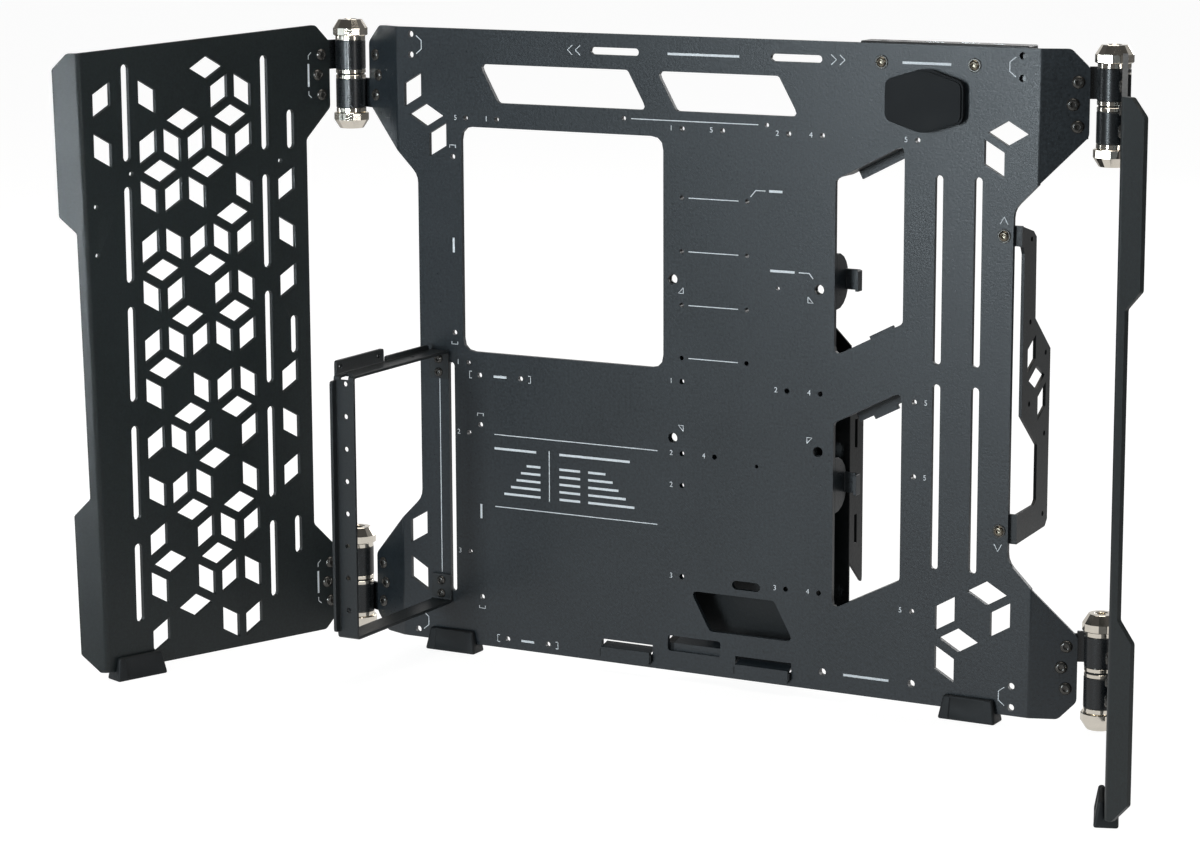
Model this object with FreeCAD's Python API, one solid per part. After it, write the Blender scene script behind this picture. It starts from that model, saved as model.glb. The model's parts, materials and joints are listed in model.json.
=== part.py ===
import FreeCAD, Part
import math
import os

# Open air test bench: a bent steel panel that carries a main board, with a
# perforated wing on two friction hinges at each side.
# Units are mm. +X runs to the right along the panel, +Y goes away from the
# viewer and +Z is up. The feet stand on z = 0 and the panel is centred on
# x = 0. The pieces are drawn with the panel's front face on y = 0; at the
# end all of them move together, so that the bench is centred in depth too.

Vector = FreeCAD.Vector
UP = Vector(0, 0, 1)
BACK = Vector(0, 1, 0)
RIGHT = Vector(1, 0, 0)
ORIGIN = Vector(0, 0, 0)
INCH = 25.4

# Panel
PLATE_T = 3.0
PANEL_W = 440.0
PANEL_H = 400.0
FOOT_GAP = 6.0
TAB_ANGLE = 20.0
TAB_REACH = 28.5
WAIST_INSET = 15.2
WAIST_H = 210.8
CORNER_CUT = 11.0
CORNER_R = 5.0
WAIST_R = 12.0
BEND_R = 4.5
PANEL_BOTTOM = FOOT_GAP
PANEL_TOP = PANEL_BOTTOM + PANEL_H
PANEL_MID = PANEL_BOTTOM + PANEL_H / 2

# Board grid: the upper left screw hole of the widest board
GRID_X = -168.8
GRID_Z = PANEL_TOP - 56.5
BOARD_HOLE_R = 1.7
STANDOFF_ROW = 6.2 * INCH
VESA_PITCH = 100.0
VESA_HOLE_R = 3.2
CPU_W = 145.4
CPU_H = 144.6
CPU_R = 8.5
SCREW_R = 1.9
SCREW_PLAY = 0.1
HEAD_R = 3.8
HEAD_H = 2.2
HEAD_TOP_R = 2.4
SMALL_HEAD_R = 3.0

# Sides of the small round shapes that repeat, which keeps their copies light
HOLE_SIDES = 10
SCREW_SIDES = 8
SLEEVE_SIDES = 16
BORE_SIDES = 16
CORNER_STEPS = 3

# Hinges
AXIS_STAND = 4.7
AXIS_GAP = 13.6
HINGE_RISE = 167.9
SLEEVE_R = 9.7
SLEEVE_H = 18.8
WASHER_R = 9.4
WASHER_H = 6.0
PIN_R = 3.5
PIN_PLAY = 0.06
CAP_RING_H = 2.7
CAP_BAND_H = 5.0
CAP_TAPER_H = 5.7
CAP_R = 11.3
CAP_TIP_R = 8.0
CAP_FLUTES = 12
SOCKET_R = 2.9
LEAF_REACH = 13.5
LEAF_SCREW_A = 6.8
LEAF_SCREW_B = 9.6
LEAF_SCREW_RISE = 12.9
LEAF_T = SLEEVE_R - AXIS_STAND - PLATE_T
KNUCKLE_END = WASHER_H / 2 + SLEEVE_H
LEAF_START = AXIS_GAP + 0.5
LEAF_TRIM = 1.5

# Wings, measured from the hinge edge of the plate
WING_TOP_W = 191.0
WING_FOOT_W = 182.8
WING_TOP_DROP = 8.9
WING_WAIST = 19.4
WING_TAB_H = 53.5
FLANGE_ANGLE = 45.0
FLANGE_WIDE = 16.6
FLANGE_SLIM = 6.0
FLANGE_CUT = 12.0
FLANGE_R = 2.5
WING_R = 4.0
WING_BEND_R = 4.5
FAN_PITCH = 105.0
FAN_SLOT_E = 52.3
SLOT_W = 5.5

# Cube lattice cut in the wings and the panel corners
CELL = 20.86
CELL_OPEN = 14.7
LATTICE_E = 69.2
LATTICE_TOP = 34.0
COLUMN = CELL * math.cos(math.radians(30))
ROW = CELL * 1.5
TOP_FACES = ("b", "ac", "bd", "a", "bd", "ac", "d", "ac", "b", "ac", "bd", "c")
SIDE_FACES = ("abe", "abcde", "acde", "abcde", "abde", "abcde",
              "abce", "acde", "acde", "abce", "abce", "abe")

# Feet
FOOT_L = 37.4
FOOT_TOP_L = 32.0
FOOT_GRIP = 8.8
FOOT_H = FOOT_GAP + FOOT_GRIP
FOOT_FRONT = 6.0
FOOT_BACK = 5.0
FOOT_TOP_SIDE = 3.5
FOOT_X = 182.0
WING_FOOT_E = 160.0

# Support frame at the lower left, standing in front of the panel
FRAME_X = GRID_X - 28.4
FRAME_W = 14.7
FRAME_T = 2.0
FRAME_REACH = 114.5
FRAME_H = 167.6
FRAME_BOTTOM = PANEL_BOTTOM + 25.9
FRAME_TOP = FRAME_BOTTOM + FRAME_H
FRAME_SLIT_X = GRID_X - 12.5
FRAME_SLIT_END = 10.2
FRAME_TAB_H = 19.0
FRAME_HOLES = 8
FRAME_PITCH = 20.5
FRAME_HOLE_R = 1.7
FRAME_BEND_R = 3.0
FRAME_LIP = 4.7
FRAME_EDGE_R = 2.0
FRAME_EAR_L = 55.5
FRAME_EAR_H = 8.5
FRAME_EAR_GAP = 3.0
FRAME_RIM_H = 3.0

# Side bracket behind the right edge
SIDE_X = GRID_X + 378.0
SIDE_T = 2.0
SIDE_LAP = 16.0
SIDE_SCREW_X = GRID_X + 368.0
SIDE_SCREW_Z = (GRID_Z - 53.8, GRID_Z - 230.8)

# Drive tray behind the panel
TRAY_T = 1.5
TRAY_W = 115.0
TRAY_RIGHT = GRID_X + 260.5
TRAY_TOP = GRID_Z - 108.0
TRAY_BOTTOM = GRID_Z - 322.0
TRAY_FLANGE = 20.0
TRAY_CUT = 22.0
TRAY_LIP = 4.8
TRAY_TAB_W = 48.0
TRAY_TAB_H = 17.0
TRAY_TAB_X = GRID_X + 202.0
DRIVE_PITCH = 60.0
POST_R = 3.6
DRIVE_SLOT_Y = 9.2
DRIVE_SLOT_DROP = 78.0

# Front connection box behind the upper edge
BOX_X = GRID_X + 273.0
BOX_W = 107.0
BOX_D = 14.5
BOX_H = 48.0
BOX_RISE = 1.0
BUTTON_X = GRID_X + 317.8
BUTTON_Z = GRID_Z + 23.8
BUTTON_W = 50.0
BUTTON_H = 37.0
BUTTON_D = 4.2
BUTTON_TRAVEL = 2.0
BUTTON_STAND = 0.5
STEM_R = 5.0
STEM_PLAY = 0.08
STEM_DEEP = 8.0

# Cable openings at the right
CABLE_LEFT = GRID_X + 258.8
CABLE_W = 45.0
CABLE_SLOPE = 23.0
LIP_T = 2.0
LIP_D = 19.0
LIP_DROP = 5.5
HOOK_RISE = 2.6
HOOK_H = 34.7
HOOK_TIP_H = 15.8
HOOK_REACH = 11.0
HOOK_CURVE = ((0.0, 1.0), (0.35, 0.97), (0.65, 0.84), (0.87, 0.64), (1.0, 0.42))

# Low features of the panel, as (across, up) from the grid and the lower edge
LOW_HOLES = ((-40.3, 18.2), (-40.3, 5.1), (377.5, 18.2), (377.5, 5.1))
LOW_PORT_HOLES = ((252.8, 11.8), (312.4, 11.8))
TONGUE_TOP = 14.8
TONGUE_GAP = 4.6
TONGUE_FOOT = 1.8
TONGUE_ROOT = 4.2
TONGUE_LIP = 8.7
TONGUE_RISE = 2.2
TONGUE_LIP_T = 1.4
TONGUE_SPANS = ((97.3, 134.2), (192.7, 231.5))
BACK_TONGUE = (145.0, 182.3)
BACK_TONGUE_LOW = 12.7
BACK_TONGUE_H = 10.0
TRAY_Y = LIP_D + 2.0


def grid(x, z):
    """Point of the front view, from the board grid's upper left hole."""
    return (GRID_X + x, GRID_Z + z)


def from_base(x, z):
    """Point of the front view, z from the panel's lower edge."""
    return (GRID_X + x, PANEL_BOTTOM + z)


def box(x, y, z):
    """Box between three (low, high) pairs."""
    size = (x[1] - x[0], y[1] - y[0], z[1] - z[0])
    return Part.makeBox(size[0], size[1], size[2], Vector(x[0], y[0], z[0]))


def prism(points, y):
    """Front view polygon pushed through from y[0] to y[1]."""
    corners = [Vector(p[0], y[0], p[1]) for p in points]
    face = Part.Face(Part.makePolygon(corners + corners[:1]))
    return face.extrude(BACK * (y[1] - y[0]))


def ring(radius, sides):
    """Corners of a many sided ring about the origin, as (across, up)."""
    step = 2 * math.pi / sides
    return [(radius * math.cos(step * (i + 0.5)), radius * math.sin(step * (i + 0.5)))
            for i in range(sides)]


def solid_between(low, high):
    """Solid between two flat loops of corners that face each other."""
    faces = [Part.Face(Part.makePolygon(low + low[:1])),
             Part.Face(Part.makePolygon(high + high[:1]))]
    for i in range(len(low)):
        k = (i + 1) % len(low)
        faces.append(Part.Face(Part.makePolygon([low[i], low[k], high[k], high[i], low[i]])))
    return Part.makeSolid(Part.makeShell(faces))


def column(radius, sides, low, high):
    """Upright many sided column about the origin."""
    corners = ring(radius, sides)
    return solid_between([Vector(x, y, low) for x, y in corners],
                         [Vector(x, y, high) for x, y in corners])


def bore_radius(radius, sides):
    """Corner radius of a many sided bore that just clears a round pin."""
    return radius / math.cos(math.pi / sides)


def soft(points, radii):
    """Flat outline with each corner rounded in short steps, radius 0 for a sharp one."""
    outline = []
    for i, point in enumerate(points):
        corner = Vector(point[0], point[1], 0)
        last = points[i - 1]
        following = points[(i + 1) % len(points)]
        before = (Vector(last[0], last[1], 0) - corner).normalize()
        after = (Vector(following[0], following[1], 0) - corner).normalize()
        run = radii[i] / math.tan(before.getAngle(after) / 2)
        steps = CORNER_STEPS if radii[i] > 0 else 0
        for k in range(steps + 1):
            part = k / steps if steps else 0.0
            spot = corner + before * (run * (1 - part) ** 2) + after * (run * part ** 2)
            outline.append((spot.x, spot.y))
    return outline


def rounded(points, radius, y):
    """Front view polygon with all its corners rounded, pushed through."""
    return prism(soft(points, [radius] * len(points)), y)


def side_prism(points, x):
    """Side view polygon of (y, z) corners pushed from x[0] to x[1]."""
    corners = [Vector(x[0], p[0], p[1]) for p in points]
    return Part.Face(Part.makePolygon(corners + corners[:1])).extrude(RIGHT * (x[1] - x[0]))


def slot(start, end, width, y):
    """Round ended slot between two centres of the front view."""
    a = Vector(start[0], y[0], start[1])
    b = Vector(end[0], y[0], end[1])
    along = (b - a).normalize()
    side = BACK.cross(along) * (width / 2)
    tip = along * (width / 2)
    edges = [Part.LineSegment(a + side, b + side).toShape(),
             Part.Arc(b + side, b + tip, b - side).toShape(),
             Part.LineSegment(b - side, a - side).toShape(),
             Part.Arc(a - side, a - tip, a + side).toShape()]
    return Part.Face(Part.Wire(edges)).extrude(BACK * (y[1] - y[0]))


def plain_slot(start, end, width, y):
    """Slot with many sided ends, for the places that hold no bolt pattern."""
    heading = math.atan2(end[1] - start[1], end[0] - start[0])
    steps = HOLE_SIDES // 2
    points = []
    for centre, first in ((end, heading - math.pi / 2), (start, heading + math.pi / 2)):
        for i in range(steps + 1):
            turn = first + math.pi * i / steps
            points.append((centre[0] + width / 2 * math.cos(turn),
                           centre[1] + width / 2 * math.sin(turn)))
    return prism(points, y)


def hole(point, radius, y):
    """Round cutter along Y at a point of the front view."""
    return Part.makeCylinder(radius, y[1] - y[0], Vector(point[0], y[0], point[1]), BACK)


def plain_hole(point, radius, y):
    """Many sided cutter along Y, for small holes that repeat."""
    return prism([(point[0] + a, point[1] + b) for a, b in ring(radius, HOLE_SIDES)], y)


def side_hole(y, z, radius, x):
    """Many sided cutter along X through an upright side plate."""
    return side_prism([(y + a, z + b) for a, b in ring(radius, HOLE_SIDES)], x)


def fuse(shapes):
    """One clean solid from several touching ones."""
    return shapes[0].multiFuse(shapes[1:]).removeSplitter()


def mirrored(shape):
    """The same shape on the other side of the bench."""
    return shape.mirror(ORIGIN, RIGHT)


def turned(shape, degrees, place):
    """Shape turned about the upright axis, then moved to its place."""
    copy = shape.copy()
    copy.rotate(ORIGIN, UP, degrees)
    copy.translate(place)
    return copy


def rhombus(kind, x, z):
    """Corners of one face of the cube lattice: left, right or top."""
    half = CELL_OPEN / 2
    wide = half * math.cos(math.radians(30))
    if kind == "top":
        return ((x, z - half), (x + 2 * wide, z), (x, z + half), (x - 2 * wide, z))
    lean = half / 2 if kind == "right" else -half / 2
    return ((x - wide, z - half - lean), (x + wide, z - half + lean),
            (x + wide, z + half + lean), (x - wide, z + half - lean))


def button_screw(point, y, depth, head=HEAD_R):
    """Button head screw from the front, shank down to y + depth."""
    x, z = point
    base = [Vector(x + a, y, z + b) for a, b in ring(head, SCREW_SIDES)]
    top = [Vector(x + a, y - HEAD_H, z + b) for a, b in ring(HEAD_TOP_R, SCREW_SIDES)]
    shank = prism([(x + a, z + b) for a, b in ring(SCREW_R, SCREW_SIDES)], (y, y + depth))
    return fuse([solid_between(base, top), shank])


# Main panel

THROUGH = (-1.0, PLATE_T + 1.0)


def panel_middle():
    """Flat middle of the panel, narrower between the tabs."""
    half = PANEL_W / 2
    waist = half - WAIST_INSET
    under = PANEL_MID - WAIST_H / 2
    over = PANEL_MID + WAIST_H / 2
    right = [(half, PANEL_BOTTOM), (half, under - WAIST_INSET), (waist, under),
             (waist, over), (half, over + WAIST_INSET), (half, PANEL_TOP)]
    left = [(-x, z) for x, z in reversed(right)]
    radii = [0, 0, WAIST_R, WAIST_R, 0, 0] * 2
    return prism(soft(right + left, radii), (0, PLATE_T))


def corner_tab(sign):
    """Bent back tab of one right corner, sign +1 for the upper one."""
    root = WAIST_H / 2 + WAIST_INSET
    end = PANEL_H / 2
    outline = [(0, root), (TAB_REACH, root + TAB_REACH), (TAB_REACH, end - CORNER_CUT),
               (TAB_REACH - CORNER_CUT, end), (0, end)]
    outline = soft(outline, [0, CORNER_R, CORNER_R, CORNER_R, 0])
    points = [(x, PANEL_MID + sign * z) for x, z in outline]
    if sign < 0:
        points.reverse()
    tab = prism(points, (0, PLATE_T))
    return turned(tab, TAB_ANGLE, Vector(PANEL_W / 2, 0, 0))


def bend_edges(shape, x):
    """Upright front edges of the plate at the bend line."""
    found = []
    for edge in shape.Edges:
        box_of = edge.BoundBox
        upright = box_of.ZLength > 30
        on_line = abs(box_of.XMin - x) + abs(box_of.XMax - x) < 0.01
        if upright and on_line and abs(box_of.YMax) + abs(box_of.YMin) < 0.01:
            found.append(edge)
    return found


def tab_hinge_axis():
    """Place of the right hinges' axis, from the bend and the tab's lean."""
    lean = math.radians(TAB_ANGLE)
    run = TAB_REACH + AXIS_GAP
    x = PANEL_W / 2 + run * math.cos(lean) + AXIS_STAND * math.sin(lean)
    y = run * math.sin(lean) - AXIS_STAND * math.cos(lean)
    return Vector(x, y, 0)


def board_holes():
    """Stand-off holes for the board sizes, the two main patterns first."""
    col_1 = 6.1 * INCH
    col_2 = 8.95 * INCH
    row_1 = -STANDOFF_ROW
    row_2 = -8.0 * INCH
    row_3 = -11.1 * INCH
    main = [(0, row_1), (col_1, row_1), (0, row_3), (col_1, row_3),
            (col_1, 0), (col_2, 0), (col_2, row_1)]
    rest = [(0.9 * INCH, 0), (0, row_2), (col_1, row_2), (col_1, -8.8 * INCH),
            (col_2, row_3), (249.8, 0), (249.8, row_1), (7.0 * INCH, row_2),
            (249.8, row_3), (0, 0), (182.6, 0), (312.0, 0), (312.0, row_1),
            (312.0, row_2), (312.0, row_3 - 4.6)]
    shapes = [hole(grid(x, z), BOARD_HOLE_R, THROUGH) for x, z in main]
    return shapes + [plain_hole(grid(x, z), BOARD_HOLE_R, THROUGH) for x, z in rest]


def display_holes():
    """Square of holes for a display stand, and the two pin holes in it."""
    left = 148.5
    top = -93.6
    shapes = []
    for i in (0, 1):
        for k in (0, 1):
            point = grid(left + i * VESA_PITCH, top - k * VESA_PITCH)
            shapes.append(hole(point, VESA_HOLE_R, THROUGH))
    for point in (grid(220.8, top - 1.0), grid(206.9, top - 112.9)):
        shapes.append(plain_hole(point, 1.2, THROUGH))
    return shapes


def drive_holes():
    """Screw pairs for two small drives and the long pair above them."""
    shapes = []
    for z in (-42.5, -75.8, -109.3, -142.5):
        shapes.append(plain_hole(grid(154.8, z), 1.5, THROUGH))
        shapes.append(plain_hole(grid(199.7, z), 1.5, THROUGH))
    shapes.append(plain_hole(grid(114.3, 4.7), 1.5, THROUGH))
    shapes.append(plain_hole(grid(212.7, 4.7), 1.5, THROUGH))
    return shapes


def supply_holes():
    """Screw places of the power supply brackets and of the corners."""
    points = [(-9.8, -25.0), (-9.8, -138.5), (8.5, -165.0), (38.8, -165.0),
              (8.8, -197.3), (8.8, -311.2), (27.7, -337.3), (57.7, -337.3)]
    shapes = [plain_hole(grid(x, z), 1.8, THROUGH) for x, z in points]
    for x in (-40.3, 377.5):
        for z in (52.0, 38.9):
            shapes.append(plain_hole(grid(x, z), 2.2, THROUGH))
    shapes += [plain_hole(from_base(x, z), 2.2, THROUGH) for x, z in LOW_HOLES]
    return shapes + [plain_hole(from_base(x, z), 2.4, THROUGH) for x, z in LOW_PORT_HOLES]


def cable_windows():
    """Cut-outs of the middle: processor window and slanted cable windows."""
    x, z = grid(-3.5, -5.4)
    window = ((x, z), (x + CPU_W, z), (x + CPU_W, z - CPU_H), (x, z - CPU_H))
    shapes = [rounded(window, CPU_R, THROUGH)]
    for left, right, top, bottom in ((10.5, 117.0, 34.7, 10.4), (137.3, 220.5, 34.7, 10.6),
                                     (161.1, 219.2, -290.3, -315.0)):
        lean = 13.6
        points = (grid(left, top), grid(right, top),
                  grid(right + lean, bottom), grid(left + lean, bottom))
        shapes.append(rounded(points, 3.0, THROUGH))
    shapes.append(plain_slot(grid(193.0, -283.2), grid(207.0, -283.2), 5.6, THROUGH))
    return shapes


def strap_slots():
    """Narrow slots for straps, bolts and the supply frame."""
    ends = [((93.1, 45.7), (122.6, 45.7), 4.6), ((217.5, 45.7), (247.0, 45.7), 4.6)]
    for x in (326.2, 351.2):
        ends.append(((x, -22.5), (x, -131.0), 5.0))
        ends.append(((x, -147.9), (x, -256.4), 5.0))
    shapes = [slot(grid(*a), grid(*b), width, THROUGH) for a, b, width in ends]
    slit = (FRAME_BOTTOM + FRAME_SLIT_END, FRAME_TOP - FRAME_SLIT_END)
    shapes.append(plain_slot((FRAME_SLIT_X, slit[1]), (FRAME_SLIT_X, slit[0]), 4.4, THROUGH))
    return shapes


def corner_lattice():
    """A few faces of the cube lattice in each corner of the panel."""
    faces = (("right", -39.2, 16.7), ("top", -29.3, 0.8), ("right", -20.8, -14.5),
             ("top", 369.2, 6.6), ("left", 360.8, -8.5),
             ("right", -38.8, -269.2), ("left", -38.8, -300.0),
             ("top", 360.9, -269.8), ("right", 369.6, -285.3), ("right", 333.8, -285.4),
             ("top", 342.9, -300.9), ("left", 333.8, -316.5))
    shapes = []
    for kind, x, z in faces:
        shapes.append(prism(rhombus(kind, *grid(x, z)), THROUGH))
    return shapes


CABLE_TOPS = (GRID_Z - 3.1, GRID_Z - 151.8)
CABLE_H = (107.4, 116.4)


def cable_opening(top, height):
    """Tall opening with slanted ends, its right side the higher one."""
    right = CABLE_LEFT + CABLE_W
    points = ((CABLE_LEFT, top - CABLE_SLOPE), (right, top),
              (right, top - height), (CABLE_LEFT, top - height - CABLE_SLOPE))
    return rounded(points, 3.5, THROUGH)


def slanted_lip(z_left, above, hook):
    """Lip folded back along a slanted end, its rear edge turned down or up."""
    slope = math.degrees(math.atan2(CABLE_SLOPE, CABLE_W))
    length = CABLE_W / math.cos(math.radians(slope))
    near = 0.0 if above else -LIP_T
    parts = [box((3.5, length * 0.84), (PLATE_T, LIP_D), (near, near + LIP_T))]
    rear = (LIP_D - LIP_T, LIP_D)
    if above:
        span = (length * 0.17, length * 0.84)
        parts.append(box(span, rear, (-LIP_DROP, LIP_T)))
    if hook:
        rise = (-LIP_DROP - HOOK_RISE, LIP_T) if above else (-LIP_T, HOOK_RISE)
        parts.append(box((length * 0.37, length * 0.72), rear, rise))
    shape = fuse(parts)
    shape.rotate(ORIGIN, BACK, -slope)
    shape.translate(Vector(CABLE_LEFT, 0, z_left))
    return shape


def side_hook(z):
    """Cable hook folded back from the left side of a cable opening."""
    tall = HOOK_H / 2
    tip = HOOK_TIP_H / 2 * 0.8
    deep = LIP_D - PLATE_T
    lower = [(PLATE_T + deep * a, z - tall * b) for a, b in HOOK_CURVE]
    upper = [(PLATE_T + deep * a, z + tall * b) for a, b in reversed(HOOK_CURVE)]
    left = CABLE_LEFT - LIP_T
    base = side_prism(lower + upper, (left, CABLE_LEFT))
    right = CABLE_LEFT + HOOK_REACH
    bent = [(left, LIP_D - LIP_T), (right - 4.0, LIP_D - LIP_T),
            (right - LIP_T, LIP_D - LIP_T - 2.0), (right - LIP_T, LIP_D - 9.0),
            (right, LIP_D - 9.0), (right, LIP_D - 3.0), (right - 3.0, LIP_D), (left, LIP_D)]
    corners = [Vector(x, y, z - tip) for x, y in bent]
    strip = Part.Face(Part.makePolygon(corners + corners[:1])).extrude(UP * (2 * tip))
    return fuse([base, strip])


def tongue_lip(x, y, z):
    """Slanted top of a tongue, from its front edge at y up to its rear edge."""
    points = ((y, z - TONGUE_LIP_T), (y + TONGUE_LIP, z - TONGUE_LIP_T + TONGUE_RISE),
              (y + TONGUE_LIP, z + TONGUE_RISE), (y, z))
    return side_prism(points, x)


def front_tongue(left, right):
    """Window and tongue in front of the panel, rooted near the lower edge."""
    x = (GRID_X + left, GRID_X + right)
    top = PANEL_BOTTOM + TONGUE_TOP
    window = box(x, THROUGH, (PANEL_BOTTOM + TONGUE_ROOT, top))
    inner = (x[0] + 1.0, x[1] - 1.0)
    foot_z = PANEL_BOTTOM + TONGUE_FOOT
    end = top - TONGUE_GAP
    corners = ((inner[0], foot_z), (inner[1], foot_z), (inner[1], end), (inner[0], end))
    plate = prism(soft(corners, [2.4, 2.4, 0, 0]), (-PLATE_T, 0))
    return window, [plate, tongue_lip(inner, -PLATE_T, end)]


def back_tongue():
    """Window and tongue behind the panel, rooted below its window."""
    x = (GRID_X + BACK_TONGUE[0], GRID_X + BACK_TONGUE[1])
    sill = PANEL_BOTTOM + BACK_TONGUE_LOW
    points = ((x[0], sill), (x[1], sill), (x[1], sill + BACK_TONGUE_H),
              (x[0], sill + BACK_TONGUE_H))
    window = rounded(points, 2.0, THROUGH)
    inner = (x[0] + 3.0, x[1] - 1.0)
    end = sill + TONGUE_GAP
    plate = box(inner, (PLATE_T, PLATE_T * 2), (sill - 4.0, end))
    return window, [plate, tongue_lip(inner, PLATE_T, end)]


def tongues():
    """Three sprung tongues along the lower edge: front, back, front."""
    sets = [front_tongue(*span) for span in TONGUE_SPANS] + [back_tongue()]
    cuts = [window for window, _ in sets]
    adds = [piece for _, pieces in sets for piece in pieces]
    return cuts, adds


def tab_screw_points(sign):
    """The three screw places of a hinge on a tab, in the tab's own plane."""
    middle = PANEL_MID + sign * HINGE_RISE
    near = TAB_REACH - LEAF_SCREW_A
    far = TAB_REACH - LEAF_SCREW_B
    return ((near, middle + LEAF_SCREW_RISE), (far, middle), (near, middle - LEAF_SCREW_RISE))


def tab_screw_holes(sign):
    """Screw holes through one right tab."""
    radius = SCREW_R + SCREW_PLAY
    holes = [plain_hole(p, radius, (-5, PLATE_T + 5)) for p in tab_screw_points(sign)]
    return [turned(h, TAB_ANGLE, Vector(PANEL_W / 2, 0, 0)) for h in holes]


def fixing_holes():
    """Holes for the screws of the box, the frame and the side bracket."""
    radius = SCREW_R + SCREW_PLAY
    points = list(box_screw_points()) + list(frame_screw_points())
    points += [(SIDE_SCREW_X, z) for z in SIDE_SCREW_Z]
    shapes = [plain_hole(p, radius, THROUGH) for p in points]
    shapes.append(plain_hole((BUTTON_X, BUTTON_Z), STEM_R + 1.5, THROUGH))
    return shapes


def main_panel():
    """The bent panel with all its cut-outs and the tongues below."""
    plate = fuse([panel_middle()]
                 + [corner_tab(1), corner_tab(-1)]
                 + [mirrored(corner_tab(1)), mirrored(corner_tab(-1))])
    edges = bend_edges(plate, PANEL_W / 2) + bend_edges(plate, -PANEL_W / 2)
    plate = plate.makeFillet(BEND_R, edges)
    cuts = board_holes() + display_holes() + drive_holes() + supply_holes()
    cuts += cable_windows() + strap_slots() + corner_lattice() + fixing_holes()
    for top, height in zip(CABLE_TOPS, CABLE_H):
        cuts.append(cable_opening(top, height))
    for sign in (1, -1):
        holes = tab_screw_holes(sign)
        cuts += holes + [mirrored(h) for h in holes]
    tongue_cuts, tongue_pieces = tongues()
    return fuse([plate.cut(cuts + tongue_cuts)] + tongue_pieces)


def cable_hooks():
    """Lips and hooks behind the panel, around the two cable openings."""
    shapes = []
    for i, top in enumerate(CABLE_TOPS):
        sill = top - CABLE_H[i] - CABLE_SLOPE
        shapes.append(slanted_lip(top - CABLE_SLOPE, True, i == 1))
        shapes.append(slanted_lip(sill, False, i == 0))
        shapes.append(side_hook(sill + CABLE_H[i] * (0.42 if i == 0 else 0.66)))
    return Part.Compound(shapes)


# Feet

def foot_body():
    """Tapered rubber block with a groove for the plate's lower edge."""
    low_y = (-FOOT_FRONT, PLATE_T + FOOT_BACK)
    top_y = (-FOOT_TOP_SIDE, PLATE_T + FOOT_TOP_SIDE)
    loops = []
    for half, y, z in ((FOOT_L / 2, low_y, 0.0), (FOOT_TOP_L / 2, top_y, FOOT_H)):
        loops.append([Vector(-half, y[0], z), Vector(half, y[0], z),
                      Vector(half, y[1], z), Vector(-half, y[1], z)])
    groove = box((-FOOT_L, FOOT_L), (0, PLATE_T), (FOOT_GAP, FOOT_H + 1))
    return solid_between(loops[0], loops[1]).cut(groove)


def foot(x, y, degrees):
    """One foot on the plate, at x along it and with its front face at y."""
    shape = foot_body()
    shape.translate(Vector(x, y, 0))
    return turned(shape, degrees, ORIGIN)


# Hinges, in a plate's own frame: X from the axis to the plate, Y to its back

def knuckle(half):
    """Hinge leaf with its sleeve, half +1 for the upper sleeve."""
    base = WASHER_H / 2 if half > 0 else -KNUCKLE_END
    sleeve = column(SLEEVE_R, SLEEVE_SIDES, base, base + SLEEVE_H)
    y = (AXIS_STAND + PLATE_T, SLEEVE_R)
    end = KNUCKLE_END - LEAF_TRIM
    leaf = box((LEAF_START, AXIS_GAP + LEAF_REACH), y, (-end, end))
    arm = box((0, LEAF_START), y, (base, base + SLEEVE_H))
    return fuse([sleeve, leaf, arm])


def wing_knuckle(half):
    """Moving knuckle, bored for a running fit on the pin."""
    bore = Part.makeCylinder(PIN_R + PIN_PLAY, 80, Vector(0, 0, -40), UP)
    return knuckle(half).cut([bore] + leaf_screw_holes())


def frame_knuckle(half):
    """Fixed knuckle, bored tight on the pin."""
    bore = column(bore_radius(PIN_R, BORE_SIDES), BORE_SIDES, -40, 40)
    return knuckle(half).cut([bore] + leaf_screw_holes())


def leaf_screw_points():
    """Screw places on a leaf, seen from the front of its plate."""
    near = AXIS_GAP + LEAF_SCREW_A
    far = AXIS_GAP + LEAF_SCREW_B
    return ((near, LEAF_SCREW_RISE), (far, 0), (near, -LEAF_SCREW_RISE))


def leaf_screw_holes():
    """Holes through a leaf, a little wider than the screws."""
    y = (AXIS_STAND - 1, SLEEVE_R + 1)
    return [plain_hole(p, SCREW_R + SCREW_PLAY, y) for p in leaf_screw_points()]


def leaf_screws():
    """Three screws from the plate's front down to the leaf's back."""
    depth = PLATE_T + LEAF_T
    return Part.Compound([button_screw(p, AXIS_STAND, depth) for p in leaf_screw_points()])


def hinge_pin():
    """Pin through both sleeves and into the two caps."""
    end = KNUCKLE_END + CAP_RING_H + CAP_BAND_H
    return Part.makeCylinder(PIN_R, 2 * end, Vector(0, 0, -end), UP)


def hinge_washers():
    """Bright ring between the two sleeves."""
    half = WASHER_H / 2
    bore = column(bore_radius(PIN_R, BORE_SIDES), BORE_SIDES, -half - 1, half + 1)
    return column(WASHER_R, SLEEVE_SIDES, -half, half).cut(bore)


def fluted_tip(low):
    """Tapered end of a cap with flat flutes, from z = low."""
    loops = []
    for radius, z in ((CAP_R, low), (CAP_TIP_R, low + CAP_TAPER_H)):
        loops.append([Vector(x, y, z) for x, y in ring(radius, CAP_FLUTES)])
    return solid_between(loops[0], loops[1])


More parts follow.
